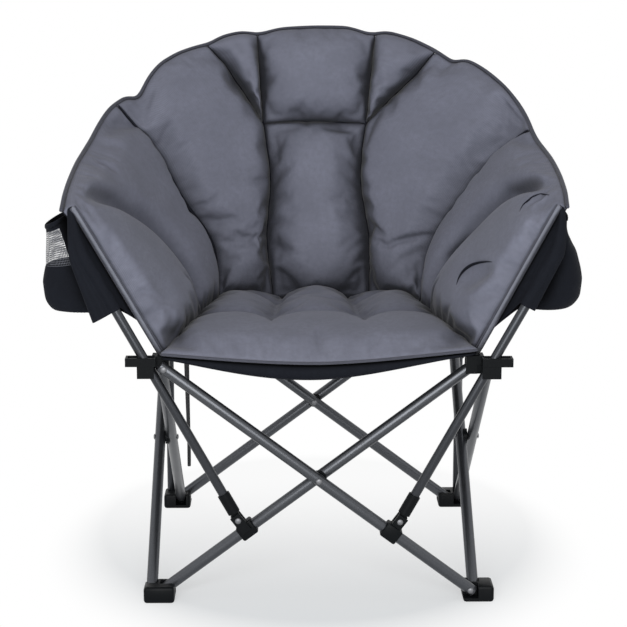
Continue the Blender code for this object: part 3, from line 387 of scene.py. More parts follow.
# Painted shade: the dark cloth of the lines along the seams and in the tucks
def seam_shade_cloth(cloth):
    return woven_polyester("painted_seam_shade", cloth.seam, 1.4 * MM, 0.2 * MM, 0.0)


def band_cloth(cloth):
    return woven_polyester("light_grey_binding", cloth.band, 1.4 * MM, 0.2 * MM, 0.25)


# Shapes

def side_of(x):
    """-1 for the left side and 1 for the right."""
    return 1 if x > 0 else -1


def evenly(start, end, count):
    """Count even steps from start to end, with both ends."""
    return [start + (end - start) * n / count for n in range(count + 1)]


def through(points, t):
    """A smooth curve through evenly spaced points, for t from 0 to 1."""
    spans = len(points) - 1
    place = min(max(t, 0.0), 1.0) * spans
    k = min(int(place), spans - 1)
    f = place - k
    p1, p2 = points[k], points[k + 1]
    p0 = points[k - 1] if k else 2 * p1 - p2
    p3 = points[k + 2] if k + 2 <= spans else 2 * p2 - p1
    return 0.5 * (2 * p1 + (p2 - p0) * f + (2 * p0 - 5 * p1 + 4 * p2 - p3) * f * f
                  + (3 * p1 - p0 - 3 * p2 + p3) * f ** 3)


class Saucer:
    """The saucer's middle surface: s from the left arm's end (-1) to the right arm's (1), h from the crease
    to the rim."""
    belly = 0.64            # of the curve's middle point, as shares of the way out and of the rise
    belly_rise = 0.34
    arm_start = 0.72        # from here on the surface flattens towards the arm's straight front edge
    step = 0.004            # for differences along the surface
    blur = 0.012            # over which the scallops are evened out
    scallop_power = 5       # by which the scallops fade below the rim

    def __init__(self, cloth):
        half = PIVOT_HALF
        self.height = cloth.rim_rise
        self.rim = [Vector((half * a + cloth.rim_side * b, half * c + cloth.rim_back * d,
                            HUB_Z + cloth.rim_rise * e)) for a, b, c, d, e in RIM_SHARES]
        self.crease = [Vector((half * a, half * b, HUB_Z + cloth.crease_rise * c))
                       for a, b, c in CREASE_SHARES]
        for row in (self.rim, self.crease):
            row[:0] = [Vector((-p.x, p.y, p.z)) for p in reversed(row[1:])]

    def scallop(self, s):
        """How far the rim stands out at s, as a share of the way from crease to rim."""
        places, steps = zip(*SCALLOPS)
        spread = [s + self.blur * n for n in (-1, 0, 1)]
        return float(np.interp(spread, places, steps).mean()) * MM / self.height

    def near_end(self, s):
        """How near s is to an arm's front end, from 0 to 1."""
        return max(0.0, abs(s) - self.arm_start) / (1 - self.arm_start)

    def at(self, s, h):
        low, high = through(self.crease, 0.5 + 0.5 * s), through(self.rim, 0.5 + 0.5 * s)
        flat = self.near_end(s) ** 2
        belly = low.lerp(high, self.belly + (0.5 - self.belly) * flat)
        belly.z = low.z + (self.belly_rise + (0.5 - self.belly_rise) * flat) * (high.z - low.z)
        point = low * (1 - h) ** 2 + belly * 2 * h * (1 - h) + high * h * h
        lean = ARM_LEAN[side_of(s)] * abs(s) ** 3 * h
        return Vector((point.x - math.copysign(lean, s), point.y + FRAME_Y, point.z))

    def roll(self, s):
        """How far the rim's back rolls outward towards an arm's end."""
        return TIP_ROLL[side_of(s)] * self.near_end(s) ** 2

    def along(self, s, h):
        """The surface's direction from left to right."""
        return self.at(s + self.step, h) - self.at(s - self.step, h)

    def upward(self, s, h):
        """The surface's direction from crease to rim."""
        return self.at(s, h + self.step) - self.at(s, h - self.step)

    def normal(self, s, h):
        """The way into the saucer."""
        ahead = self.at(min(s + self.step, 1.0), h) - self.at(max(s - self.step, -1.0), h)
        return ahead.cross(self.upward(s, h)).normalized()


# A panel's side seams, by height, its low and high ends, whether it ends at the rim, and its fold, if any
Panel = namedtuple("Panel", "left right low high rim fold")


def half_panels(sign):
    """The side panels and the wing panel of one half, its centre seam, and the seams on its side panels."""
    def seam(shares):
        return lambda h: sign * through(shares[sign], h)
    centre, third, fold = seam(CENTRE_SEAM), seam(THIRD_SEAM), seam(WING_FOLD)

    def wedge(h):
        place = sign * through(WEDGE_SEAM[sign], (h - LEVEL_SEAM) / (1 - LEVEL_SEAM))
        least = WEDGE_LEAST * min(1.0, max(0.0, h - LEVEL_SEAM) / WEDGE_RUN)
        return max(place, centre(h) + least) if sign > 0 else min(place, centre(h) - least)

    def inner(h):
        return wedge(h) if h > LEVEL_SEAM else centre(h)

    def panel(one, other, low, fold=None):
        return Panel(*(one, other)[::sign], low, 1.0, True, fold)
    side = [panel(centre, wedge, LEVEL_SEAM + WEDGE_START), panel(inner, third, FLAP)]
    wing = [panel(third, lambda h: float(sign), FLAP, fold)]
    return side, wing, centre, [(wedge, LEVEL_SEAM, 1.0), (third, FLAP, WING_SEAM_SHADOW)]


def saucer_panels():
    """The panels of each pad, by node, and the seams that it carries: line, low end and boldness."""
    left_side, left_wing, left, left_seams = half_panels(-1)
    right_side, right_wing, right, right_seams = half_panels(1)
    middle = [Panel(left, right, FLAP, LEVEL_SEAM + LAP, False, None),
              Panel(left, right, LEVEL_SEAM - LAP, 1.0, True, None)]
    return {"back_centre_pad": (middle, [(left, FLAP, 1.0), (right, FLAP, 1.0)]),
            "back_left_pad": (left_side, left_seams), "back_right_pad": (right_side, right_seams),
            "left_wing_pad": (left_wing, []), "right_wing_pad": (right_wing, [])}


def swell(t):
    """A stuffed panel's rise between two seams, for t from -1 to 1: steep at the seams, flat on top."""
    return max(0.0, 1.0 - abs(t) ** 2.6) ** 0.5


SEWN_EDGE = 0.999           # places further out on a pad's grid are on its sewn edge


def held(a, b, side):
    """Whether a place on a pad's grid is on its back or its sewn edge."""
    return side < 0 or max(abs(a), abs(b)) > SEWN_EDGE


def vector_layer(shape, name):
    """A layer of vectors on a bmesh's vertices, new if it is missing."""
    layers = shape.verts.layers.float_vector
    return layers.get(name) or layers.new(name)


def closed_grid(shape, steps, place, sewn, back_finish=1):
    """A closed pad from a grid, its two faces placed by place(a, b, side), with its sewn points held."""
    cloth = vector_layer(shape, "cloth")
    spot = vector_layer(shape, "spot")
    hold = shape.verts.layers.deform.verify()
    back = bmesh.ops.create_grid(shape, x_segments=steps[0], y_segments=steps[1], size=1.0)["verts"]
    faces = list({face for vert in back for face in vert.link_faces})
    made = bmesh.ops.extrude_face_region(shape, geom=faces)["geom"]
    front = [g for g in made if isinstance(g, bmesh.types.BMVert)]
    for face in faces:
        face.material_index = back_finish
    for side, group in ((-1, back), (1, front)):
        for vert in group:
            a, b = vert.co.x, vert.co.y
            vert[spot] = (a, b, side)
            vert.co = place(a, b, side)
            vert[hold][0] = sewn(a, b, side)
    middle = place(0, 0, 1)
    wide = (place(0.5, 0, 1) - place(-0.5, 0, 1)).length
    tall = (place(0, 0.5, 1) - place(0, -0.5, 1)).length
    for vert in back + front:
        a, b, _ = vert[spot]
        vert[cloth] = (middle.x + a * wide, middle.z + b * tall, 0.0)


def extruded(shape, edges):
    """The edges and vertices of a loop's copy, joined to the loop by faces."""
    made = bmesh.ops.extrude_edge_only(shape, edges=edges)["geom"]
    return [[g for g in made if isinstance(g, kind)] for kind in (bmesh.types.BMEdge, bmesh.types.BMVert)]


def ring_stack(shape, sides, rings, floor):
    """A stack of unit rings, with or without a floor. Gives each vertex's turn and its height from 0 to 1,
    and the top ring's edges."""
    ring = bmesh.ops.create_circle(shape, cap_ends=floor, segments=sides, radius=1.0)["verts"]
    spots = {vert: (math.atan2(vert.co.y, vert.co.x), 0.0) for vert in ring}
    edges = shape.edges[:]
    for n in range(1, rings + 1):
        edges, fresh = extruded(shape, edges)
        for vert in fresh:
            spots[vert] = (math.atan2(vert.co.y, vert.co.x), n / rings)
    return spots, edges


def swept(shape, path, wide, thick, side_way=lambda n: UP, sides=10, finish=0, share=lambda n: 1.0):
    """A closed tube of oval section along a path, with share(n) of its section at point n. side_way(n) is the
    direction of its width there."""
    cloth = vector_layer(shape, "cloth")
    ring = bmesh.ops.create_circle(shape, cap_ends=True, segments=sides, radius=1.0)["verts"]
    angles = [math.atan2(vert.co.y, vert.co.x) for vert in ring]
    edges = list({edge for vert in ring for edge in vert.link_edges})
    faces = {face for vert in ring for face in vert.link_faces}
    run = 0.0
    for n, centre in enumerate(path):
        if n:
            edges, fresh = extruded(shape, edges)
            ring = [next(v for v in fresh if any(e.other_vert(v) is r for e in v.link_edges)) for r in ring]
            faces |= {face for vert in ring for face in vert.link_faces}
            run += (centre - path[n - 1]).length
        ahead = (path[min(n + 1, len(path) - 1)] - path[max(n - 1, 0)]).normalized()
        across = side_way(n)
        across = (across - ahead * across.dot(ahead)).normalized()
        up = ahead.cross(across)
        for vert, angle in zip(ring, angles):
            vert.co = centre + (across * math.cos(angle) * wide + up * math.sin(angle) * thick) * share(n)
            vert[cloth] = (angle * wide, run, 0.0)
    bmesh.ops.edgeloop_fill(shape, edges=edges)
    faces |= {face for vert in ring for face in vert.link_faces}
    for face in faces:
        face.material_index = finish
        face.smooth = True
    bmesh.ops.recalc_face_normals(shape, faces=list(faces))


def finish_mesh(name, shape, materials, smooth=True):
    """A new object at the origin from a bmesh."""
    mesh = bpy.data.meshes.new(name)
    shape.to_mesh(mesh)
    shape.free()
    made = bpy.data.objects.new(name, mesh)
    bpy.context.scene.collection.objects.link(made)
    for material in materials:
        mesh.materials.append(material)
    if smooth:
        mesh.shade_smooth()
    return made


def dress(piece, *nodes):
    """Puts a piece on its node's body, in its place, and hides its nodes."""
    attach(piece, BODY_OF[nodes[0]])
    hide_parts(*nodes)
    return piece


def sew_on(piece, node):
    """Puts an added piece on its node's body."""
    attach(piece, BODY_OF[node])


def subdivide(piece):
    step = piece.modifiers.new("Smooth", "SUBSURF")
    step.levels = 1
    step.render_levels = 1


def thicken(piece, wall):
    """Gives a shell its wall, on the inner side."""
    step = piece.modifiers.new("Wall", "SOLIDIFY")
    step.thickness = wall
    step.offset = -1.0


def swell_cloth(piece, cloth, cap):
    """Swells a closed pad by simulated pressure. Its sewn points stay, and no point moves further than
    cap."""
    scene = bpy.context.scene
    step = piece.modifiers.new("Swell", "CLOTH")
    settings = step.settings
    settings.vertex_group_mass = "sewn"
    settings.use_pressure = True
    settings.uniform_pressure_force = cloth.pressure
    settings.shrink_min = -cloth.slack
    settings.quality = 5
    settings.mass = 0.25
    settings.tension_stiffness = 18.0
    settings.compression_stiffness = 12.0
    settings.shear_stiffness = 6.0
    settings.bending_stiffness = 0.25
    settings.effector_weights.gravity = 0.0
    step.point_cache.frame_start = 1
    step.point_cache.frame_end = cloth.frames
    for n in range(1, cloth.frames + 1):
        scene.frame_set(n)
    swollen = piece.evaluated_get(bpy.context.evaluated_depsgraph_get()).data
    for vert, moved in zip(piece.data.vertices, swollen.vertices):
        way = moved.co - vert.co
        vert.co += way * min(1.0, cap / max(way.length, 1e-9))
    piece.modifiers.remove(step)
    scene.frame_set(1)


def stuffed(name, shape, materials, cloth, cap):
    """A pad swollen by its filling, and a bmesh of it for its sewing."""
    bmesh.ops.recalc_face_normals(shape, faces=shape.faces)
    piece = finish_mesh(name, shape, materials)
    piece.vertex_groups.new(name="sewn")
    swell_cloth(piece, cloth, cap)
    shape = bmesh.new()
    shape.from_mesh(piece.data)
    return piece, shape


def sewn_up(piece, shape):
    """Puts a sewn bmesh back into its piece."""
    shape.to_mesh(piece.data)
    shape.free()
    piece.data.shade_smooth()


# Saucer and seat

PIPE, BAND, SEAM_SHADE = 2, 3, 4      # places of these cloths among a quilted piece's materials; the last is the painted shade in the seams and tucks


class CHAIR_OT_saucer(bpy.types.Operator):
    """Makes the five quilted pads of the saucer, with piping on the rim and binding on the arms"""
    bl_idname = "chair.saucer"
    bl_label = "Quilted Saucer"

    cell = 0.0075               # width of a square of the cloth's grid
    least_steps = (8, 10)
    edge = 0.0025               # half thickness of a sewn edge
    back_crown = 0.007
    cap = 0.014                 # how far the cloth may swell
    seam_lap = 0.0010           # of the half width, so that no light shows through a seam
    fold_draw = 0.88            # how far a wing's fold draws the cloth in, and how wide it is
    fold_spread = 0.15
    arm_roll = 0.45             # how much higher the cloth stands in front of a wing's fold, low on the arm
    arm_roll_run = 0.12
    tip_roll_power = 4          # by which the roll at an arm's end fades below the rim

    gather = 0.0028             # height of the gathers at the seams
    gather_waves = Vector((16, 16, 46))
    gather_side = 0.22          # reach of the gathers from the side seams, and from the level ones
    gather_level = 0.14
    level_share = 0.8
    tuck_run = 0.7              # how far from its middle a tuck may reach, and where it fades, as shares
    tuck_fade = 0.42
    tuck_shade_half = 0.37            # half width of a tuck's dark line of painted shade, as a share of the tuck's depth
    tuck_shade_thick = 0.0014

    seam_half = 0.0030          # half width and half thickness of a seam's dark line of painted shade
    seam_thick = 0.0022
    seam_lift = 0.0028          # of the dark line over the middle surface, and how much more on a wing's seam, where the line is painted shadow of the wing's bulge
    wing_seam_lift = 0.0110
    pipe_sit = 0.4              # how far the piping sits over the rim, as a share of its radius
    pipe_lap = 0.003
    band_ends = (-0.03, 0.992)  # heights of the binding's ends on an arm's front edge
    band_thick = 0.0040
    band_ahead = 0.0035
    band_in = 0.0022
    cord = 0.0018               # radius of the cords along the binding
    cord_ahead = 0.001
    wing_lean = 0.15            # sideways share of the direction in which a wing draws together

    def placer(self, cloth, saucer, panel):
        """The function that places a panel's grid: a across, b up, side 1 in front, -1 behind, 0 between."""
        def place(a, b, side):
            up = 0.5 + 0.5 * b
            h = panel.low + (panel.high - panel.low) * up
            left, right = panel.left(h), panel.right(h)
            s = (left + right) / 2 + a * ((right - left) / 2 + self.seam_lap)
            rise = swell(a) * swell(b)
            if panel.fold:
                at_fold = 2 * (panel.fold(h) - left) / (right - left) - 1
                rise *= 1 - self.fold_draw * math.exp(-((a - at_fold) / self.fold_spread) ** 2)
                before = min(1.0, max(0.0, abs(s) - abs(panel.fold(h))) / self.arm_roll_run)
                rise *= 1 + self.arm_roll * before * max(0.0, 1 - h)
            if panel.rim:
                h += saucer.scallop(s) * up ** saucer.scallop_power
            point, way = saucer.at(s, h), saucer.normal(s, min(h, 1.0))
            if side <= 0 and panel.rim:
                point -= way * saucer.roll(s) * up ** self.tip_roll_power
            if side > 0:
                return point + way * (self.edge + cloth.crown * rise)
            return point - way * (self.edge + self.back_crown * rise) * abs(side)
        return place

    def steps(self, place):
        """How many squares a panel's grid has across and up."""
        spots = evenly(-1, 1, 8)
        rows = [place(a, 0, 0) for a in spots], [place(0, b, 0) for b in spots]
        runs = [sum((q - p).length for p, q in zip(row, row[1:])) for row in rows]
        return [max(least, round(run / self.cell)) for least, run in zip(self.least_steps, runs)]

    def execute(self, context):
        cloth = context.scene.chair_cloth
        saucer = Saucer(cloth)
        finishes = [grey_cloth(cloth), black_cloth(cloth), piping_cloth(cloth), band_cloth(cloth),
                    seam_shade_cloth(cloth)]
        for node, (panels, seams) in saucer_panels().items():
            places = [self.placer(cloth, saucer, panel) for panel in panels]
            shape = bmesh.new()
            for place in places:
                closed_grid(shape, self.steps(place), place, lambda *spot: float(held(*spot)))
            piece, shape = stuffed(node + "_quilted", shape, finishes, cloth, self.cap)
            self.pucker(shape)
            if "wing" in node:
                self.tuck(shape)
                self.shade_tucks(shape)
            for line, low, bold in seams:
                self.seam(shape, saucer, [(line(h), h) for h in evenly(low, 1, 40)], bold)
            if "centre" in node:
                left, right = panels[0].left(LEVEL_SEAM), panels[0].right(LEVEL_SEAM)
                self.seam(shape, saucer, [(s, LEVEL_SEAM) for s in evenly(left, right, 24)])
            for panel, place in zip(panels, places):
                if panel.rim:
                    self.pipe_rim(shape, cloth, place)
            if "wing" in node:
                self.bind_arm(shape, cloth, saucer, -1 if "left" in node else 1)
            sewn_up(piece, shape)
            subdivide(dress(piece, node))
            self.fold_away(piece, node)
        return {"FINISHED"}

    def pucker(self, shape):
        """Small gathers across the seams, fading into the panels."""
        spot = vector_layer(shape, "spot")
        shape.normal_update()
        moves = {}
        for vert in shape.verts:
            a, b, side = vert[spot]
            if held(a, b, side):
                continue
            near = math.exp(-(1 - abs(a)) / self.gather_side)
            near += self.level_share * math.exp(-(1 - abs(b)) / self.gather_level)
            wave = noise.noise(vert.co * self.gather_waves)
            moves[vert] = vert.normal * (wave * self.gather * min(near, 1.0))
        for vert, move in moves.items():
            vert.co += move

    def tuck(self, shape):
        """Short creases that draw the wings in."""
        spot = vector_layer(shape, "spot")
        shape.normal_update()
        moves = {}
        for vert in shape.verts:
            if held(*vert[spot]):
                continue
            here = Vector((vert.co.x, vert.co.z - HUB_Z))
            for start, end, depth, half in TUCKS:
                start, run = Vector(start), Vector(end) - Vector(start)
                along = (here - start).dot(run) / run.length_squared
                if abs(along - 0.5) < self.tuck_run:
                    away = (here - start - run * along).length
                    fade = math.exp(-((along - 0.5) / self.tuck_fade) ** 4) * math.exp(-(away / half) ** 2)
                    moves[vert] = moves.get(vert, Vector()) - vert.normal * depth * fade
        for vert, move in moves.items():
            vert.co += move

    def shade_tucks(self, shape, count=14):
        """Painted shade: dark lines at the bottoms of the deep tucks, bowed and narrow at their ends."""
        skin = BVHTree.FromBMesh(shape)
        arc = [math.sin(math.pi * n / count) for n in range(count + 1)]
        for start, end, depth, _ in TUCKS:
            run = Vector(end) - Vector(start)
            bow = Vector((-run.y, run.x)).normalized() * TUCK_BOW
            spots = [Vector(start) + run * n / count + bow * arc[n] for n in range(count + 1)]
            hits = [skin.ray_cast(Vector((x, -1, HUB_Z + z)), REARWARD)[0] for x, z in spots]
            if depth > DEEP_TUCK and None not in hits:
                swept(shape, hits, self.tuck_shade_half * depth, self.tuck_shade_thick,
                      lambda n: Vector((-run.y, 0, run.x)), sides=8, finish=SEAM_SHADE,
                      share=lambda n: 0.1 + 0.9 * arc[n])

    def seam(self, shape, saucer, spots, bold=1.0):
        """The dark line of a seam: shade painted at the bottom of the valley, narrow at its ends."""
        count = len(spots) - 1
        path, ways = [], []
        level = abs(spots[0][1] - spots[-1][1]) < 1e-6

        def share(n):
            return 0.4 + 0.6 * math.sin(math.pi * n / count)
        for n, (s, h) in enumerate(spots):
            upward = saucer.upward(s, h)
            h += saucer.scallop(s) * max(0.0, h) ** saucer.scallop_power
            lift = self.seam_lift + self.wing_seam_lift * share(n) * (bold - 1) / (WING_SEAM_SHADOW - 1)
            path.append(saucer.at(s, h) + saucer.normal(s, min(h, 1.0)) * lift)
            ways.append(upward if level else saucer.along(s, h))
        swept(shape, path, self.seam_half * bold, self.seam_thick * bold, lambda n: ways[n], sides=8,
              finish=SEAM_SHADE, share=share)

    def pipe_rim(self, shape, cloth, place, count=22):
        """Piping along a panel's rim, which laps a little at both ends."""
        path = [place(a, 1, 0) + UP * (self.pipe_sit * cloth.piping) for a in evenly(-1, 1, count)]
        path = [path[0] + (path[0] - path[1]).normalized() * self.pipe_lap, *path,
                path[-1] + (path[-1] - path[-2]).normalized() * self.pipe_lap]
        swept(shape, path, cloth.piping, cloth.piping, finish=PIPE)

    def bind_arm(self, shape, cloth, saucer, sign, count=40):
        """The binding down an arm's front edge, with a cord along each side."""
        low, high = self.band_ends
        heights = evenly(low, high + saucer.scallop(sign), count)
        ways = [saucer.normal(sign, min(h, 1.0)) for h in heights]
        line = [saucer.at(sign, h) - REARWARD * self.band_ahead + way * self.band_in
                for h, way in zip(heights, ways)]
        swept(shape, line, cloth.band_half, self.band_thick, lambda n: ways[n], sides=14, finish=BAND)
        for edge in (-1, 1):
            path = [point + way * edge * cloth.band_half - REARWARD * self.cord_ahead
                    for point, way in zip(line, ways)]
            swept(shape, path, self.cord, self.cord, lambda n: ways[n], sides=8, finish=PIPE)

    def fold_away(self, piece, node):
        """Gives the piece a mesh of its own."""
        pole = "rear_right_pole" if "right" in node else "rear_left_pole"
        if "wing" in node:
            lean = -self.wing_lean if "left" in node else self.wing_lean
            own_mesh(piece)
        else:
            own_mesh(piece)


class CHAIR_OT_seat(bpy.types.Operator):
    """Makes the quilted seat, the black sling under it and the webbing tabs to the front hubs"""
    bl_idname = "chair.seat"
    bl_label = "Quilted Seat"

    columns = 3
    channel = 0.35              # height of the channels between the puffs, as a share of the crown
    row_split = -0.06           # where the front roll meets the row of puffs
    front_roll = 1.14           # rise of the front roll, as a share of the crown
    tuft_reach = 0.32           # how far the puffs' channels run into the front roll
    steps = (60, 56)
    edge = 0.0025               # half thickness of the sewn edge
    cap = 0.016                 # how far the cloth may swell
    piping = 0.0026             # radius of the piping on the front edge
    column_hold = 0.12          # how far the channels are held ahead of the row split
    hold = 0.9                  # how firmly the channels are held
    side_gap = 0.018            # sides, in from the pivots
    rear_draw = 0.060           # how far the rear corners draw in
    front_reach = 0.044         # front edge, ahead of the front pivots
    rear_gap = 0.026            # rear edge, ahead of the rear pivots
    rear_bow = 0.055            # how far the rear edge bows out, and how far the front edge does
    front_bow = 0.010
    corner_spread = 0.025       # front corners, out over their hubs
    rest = 0.0125               # sewn edge over the hubs
    front_rise = 0.0115         # middle of the front edge over the hubs
    corner_lift = 0.0165        # front corners over the middle of the front edge
    tilt = 0.003                # how much the right front corner is lifted and the left one lowered
    sling_steps = (36, 30)
    sling_gap = 0.0032          # sling under the seat's sewn edge
    sling_depth = 0.006         # sling's thickness at its edge, and how much deeper it hangs in the middle
    sling_belly = 0.021
    sling_lean = 0.006          # how much more it hangs on the left
    tab_rise = 0.22             # share of a tab's length on which it rises to the hub
    tab_thick = 0.001           # half thickness of a tab

    def outline(self, a, b):
        """The seat's plan, from front (b = -1) to rear (b = 1), where its corners draw in."""
        t = 0.5 + 0.5 * b
        corner = abs(a) ** 3 * (1 - t) ** 3
        half = PIVOT_HALF - self.side_gap - self.rear_draw * t ** 3 + self.corner_spread * corner
        front, rear = -PIVOT_HALF - self.front_reach, PIVOT_HALF - self.rear_gap
        y = front + t * (rear - front) - self.rear_bow * (a * t) ** 2 + self.front_bow * (a * (1 - t)) ** 2
        return Vector((a * half, y + FRAME_Y, 0.0))

    def level(self, a, b):
        """The seat's sewn edge, which sags at the front between its corners."""
        edge = self.front_rise + self.corner_lift * abs(a) ** 1.6 + self.tilt * a
        return HUB_Z + self.rest + (edge - self.rest) * max(0.0, -b) ** 2

    def split(self, b):
        """Place within the front roll or the row of puffs, from -1 to 1."""
        if b < self.row_split:
            return 2 * (b + 1) / (self.row_split + 1) - 1
        return 2 * (b - self.row_split) / (1 - self.row_split) - 1

    def rise(self, a, b):
        """Height of the seat's top over its sewn edge, as a share of the crown."""
        place = (0.5 + 0.5 * a) * self.columns
        across = swell(2 * (place - min(math.floor(place), self.columns - 1)) - 1)
        along = self.split(b)
        floor = self.channel * (1 - max(abs(a), abs(b)) ** 8)
        if b < self.row_split:
            t = 0.5 + 0.5 * along
            near_row = math.exp(-((1 - t) / self.tuft_reach) ** 2)
            roll = (1 - (1 - t) ** 2) ** 0.8 * max(0.0, 1 - t ** 7) ** 0.5 * (1 - a ** 8) ** 0.5
            return floor * t + (self.front_roll - floor * t) * roll * (1 - near_row * (1 - across))
        return floor + (1 - floor) * across * swell(along)

    def execute(self, context):
        cloth = context.scene.chair_cloth
        self.seat_pad(cloth)
        self.sling(cloth)
        for corner in ("front_left", "front_right"):
            self.tab(cloth, corner + "_seat_tab")
        return {"FINISHED"}

    def seat_pad(self, cloth):
        def place(a, b, side):
            spot = self.outline(a, b)
            spot.z = self.level(a, b)
            if side > 0:
                spot.z += self.edge + cloth.seat_crown * self.rise(a, b)
            else:
                spot.z -= self.edge * abs(side)
            return spot

        def sewn(a, b, side):
            if held(a, b, side):
                return 1.0
            column = (0.5 + 0.5 * a) * self.columns
            at_column = abs(column - round(column)) < 0.01 and b > self.row_split - self.column_hold
            at_row = abs(b - self.row_split) < 1.0 / self.steps[1]
            return self.hold if at_column or at_row else 0.0
        shape = bmesh.new()
        closed_grid(shape, self.steps, place, sewn)
        finishes = [grey_cloth(cloth), black_cloth(cloth), piping_cloth(cloth)]
        piece, shape = stuffed("seat_pad_quilted", shape, finishes, cloth, self.cap)
        front_edge = [place(a, -1, 0) for a in evenly(-1, 1, 40)]
        swept(shape, front_edge, self.piping, self.piping, sides=8, finish=PIPE)
        sewn_up(piece, shape)
        subdivide(dress(piece, "seat_pad"))
        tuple(JOINT_AT["rear_left_hub_pivot"])
        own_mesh(piece)

    def sling(self, cloth):
        def place(a, b, side):
            spot = self.outline(a, b)
            spot.z = self.level(a, b) - self.sling_gap
            if side < 0:
                belly = self.sling_belly * (1 - a * a) ** 1.3 - self.sling_lean * a * (1 - a * a)
                spot.z -= self.sling_depth + belly * (1 - max(0.0, b) ** 4)
            return spot
        shape = bmesh.new()
        closed_grid(shape, self.sling_steps, place, lambda a, b, side: 1.0, back_finish=0)
        bmesh.ops.recalc_face_normals(shape, faces=shape.faces)
        piece = finish_mesh("seat_underlay_sling", shape, [black_cloth(cloth)])
        subdivide(dress(piece, "seat_underlay"))
        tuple(JOINT_AT["rear_left_hub_pivot"])
        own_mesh(piece)

    def tab(self, cloth, node, count=16):
        """A webbing tab in its node's box, which rises from the seat's corner and lies flat on the hub."""
        low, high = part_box(node)
        start, end = (low.x, high.x)[::side_of(low.x)]
        rise = high.z - low.z - 2 * self.tab_thick

        def spot(t):
            lift = min(1.0, t / self.tab_rise)
            z = low.z + self.tab_thick + rise * (3 * lift ** 2 - 2 * lift ** 3)
            return Vector((start + (end - start) * t, (low.y + high.y) / 2, z))
        shape = bmesh.new()
        path = [spot(t) for t in evenly(0, 1, count)]
        swept(shape, path, (high.y - low.y) / 2, self.tab_thick, lambda n: REARWARD, sides=16)
        dress(finish_mesh(node + "_webbing", shape, [ribbed_webbing(cloth.webbing)]), node)


# Pouches, sleeves, pockets and strap

def corners_of(node):
    """A node's vertices as an array."""
    mesh = frame["nodes"][node].data
    found = np.zeros(len(mesh.vertices) * 3, np.float32)
    mesh.vertices.foreach_get("co", found)
    return found.reshape(-1, 3).astype(float)


def tube_line(node):
    """The middle of a straight tube's two ends, and its radius, from its facets."""
    mesh = frame["nodes"][node].data
    spread = np.zeros((3, 3))
    for face in mesh.polygons:
        normal = np.array(face.normal)
        spread += face.area * np.outer(normal, normal)
    axis = np.linalg.eigh(spread)[1][:, 0]
    points = corners_of(node)
    along = points @ axis
    flat = points - np.outer(along, axis)
    sides = np.linalg.svd(flat - flat.mean(0), full_matrices=False)[2][:2]
    middle = sum(side * (flat @ side).min() / 2 + side * (flat @ side).max() / 2 for side in sides)
    radius = max(np.ptp(flat @ side) for side in sides) / 2
    ends = [Vector(middle + axis * value) for value in (along.min(), along.max())]
    ends.sort(key=lambda end: end.z)
    return ends[0], ends[1], radius


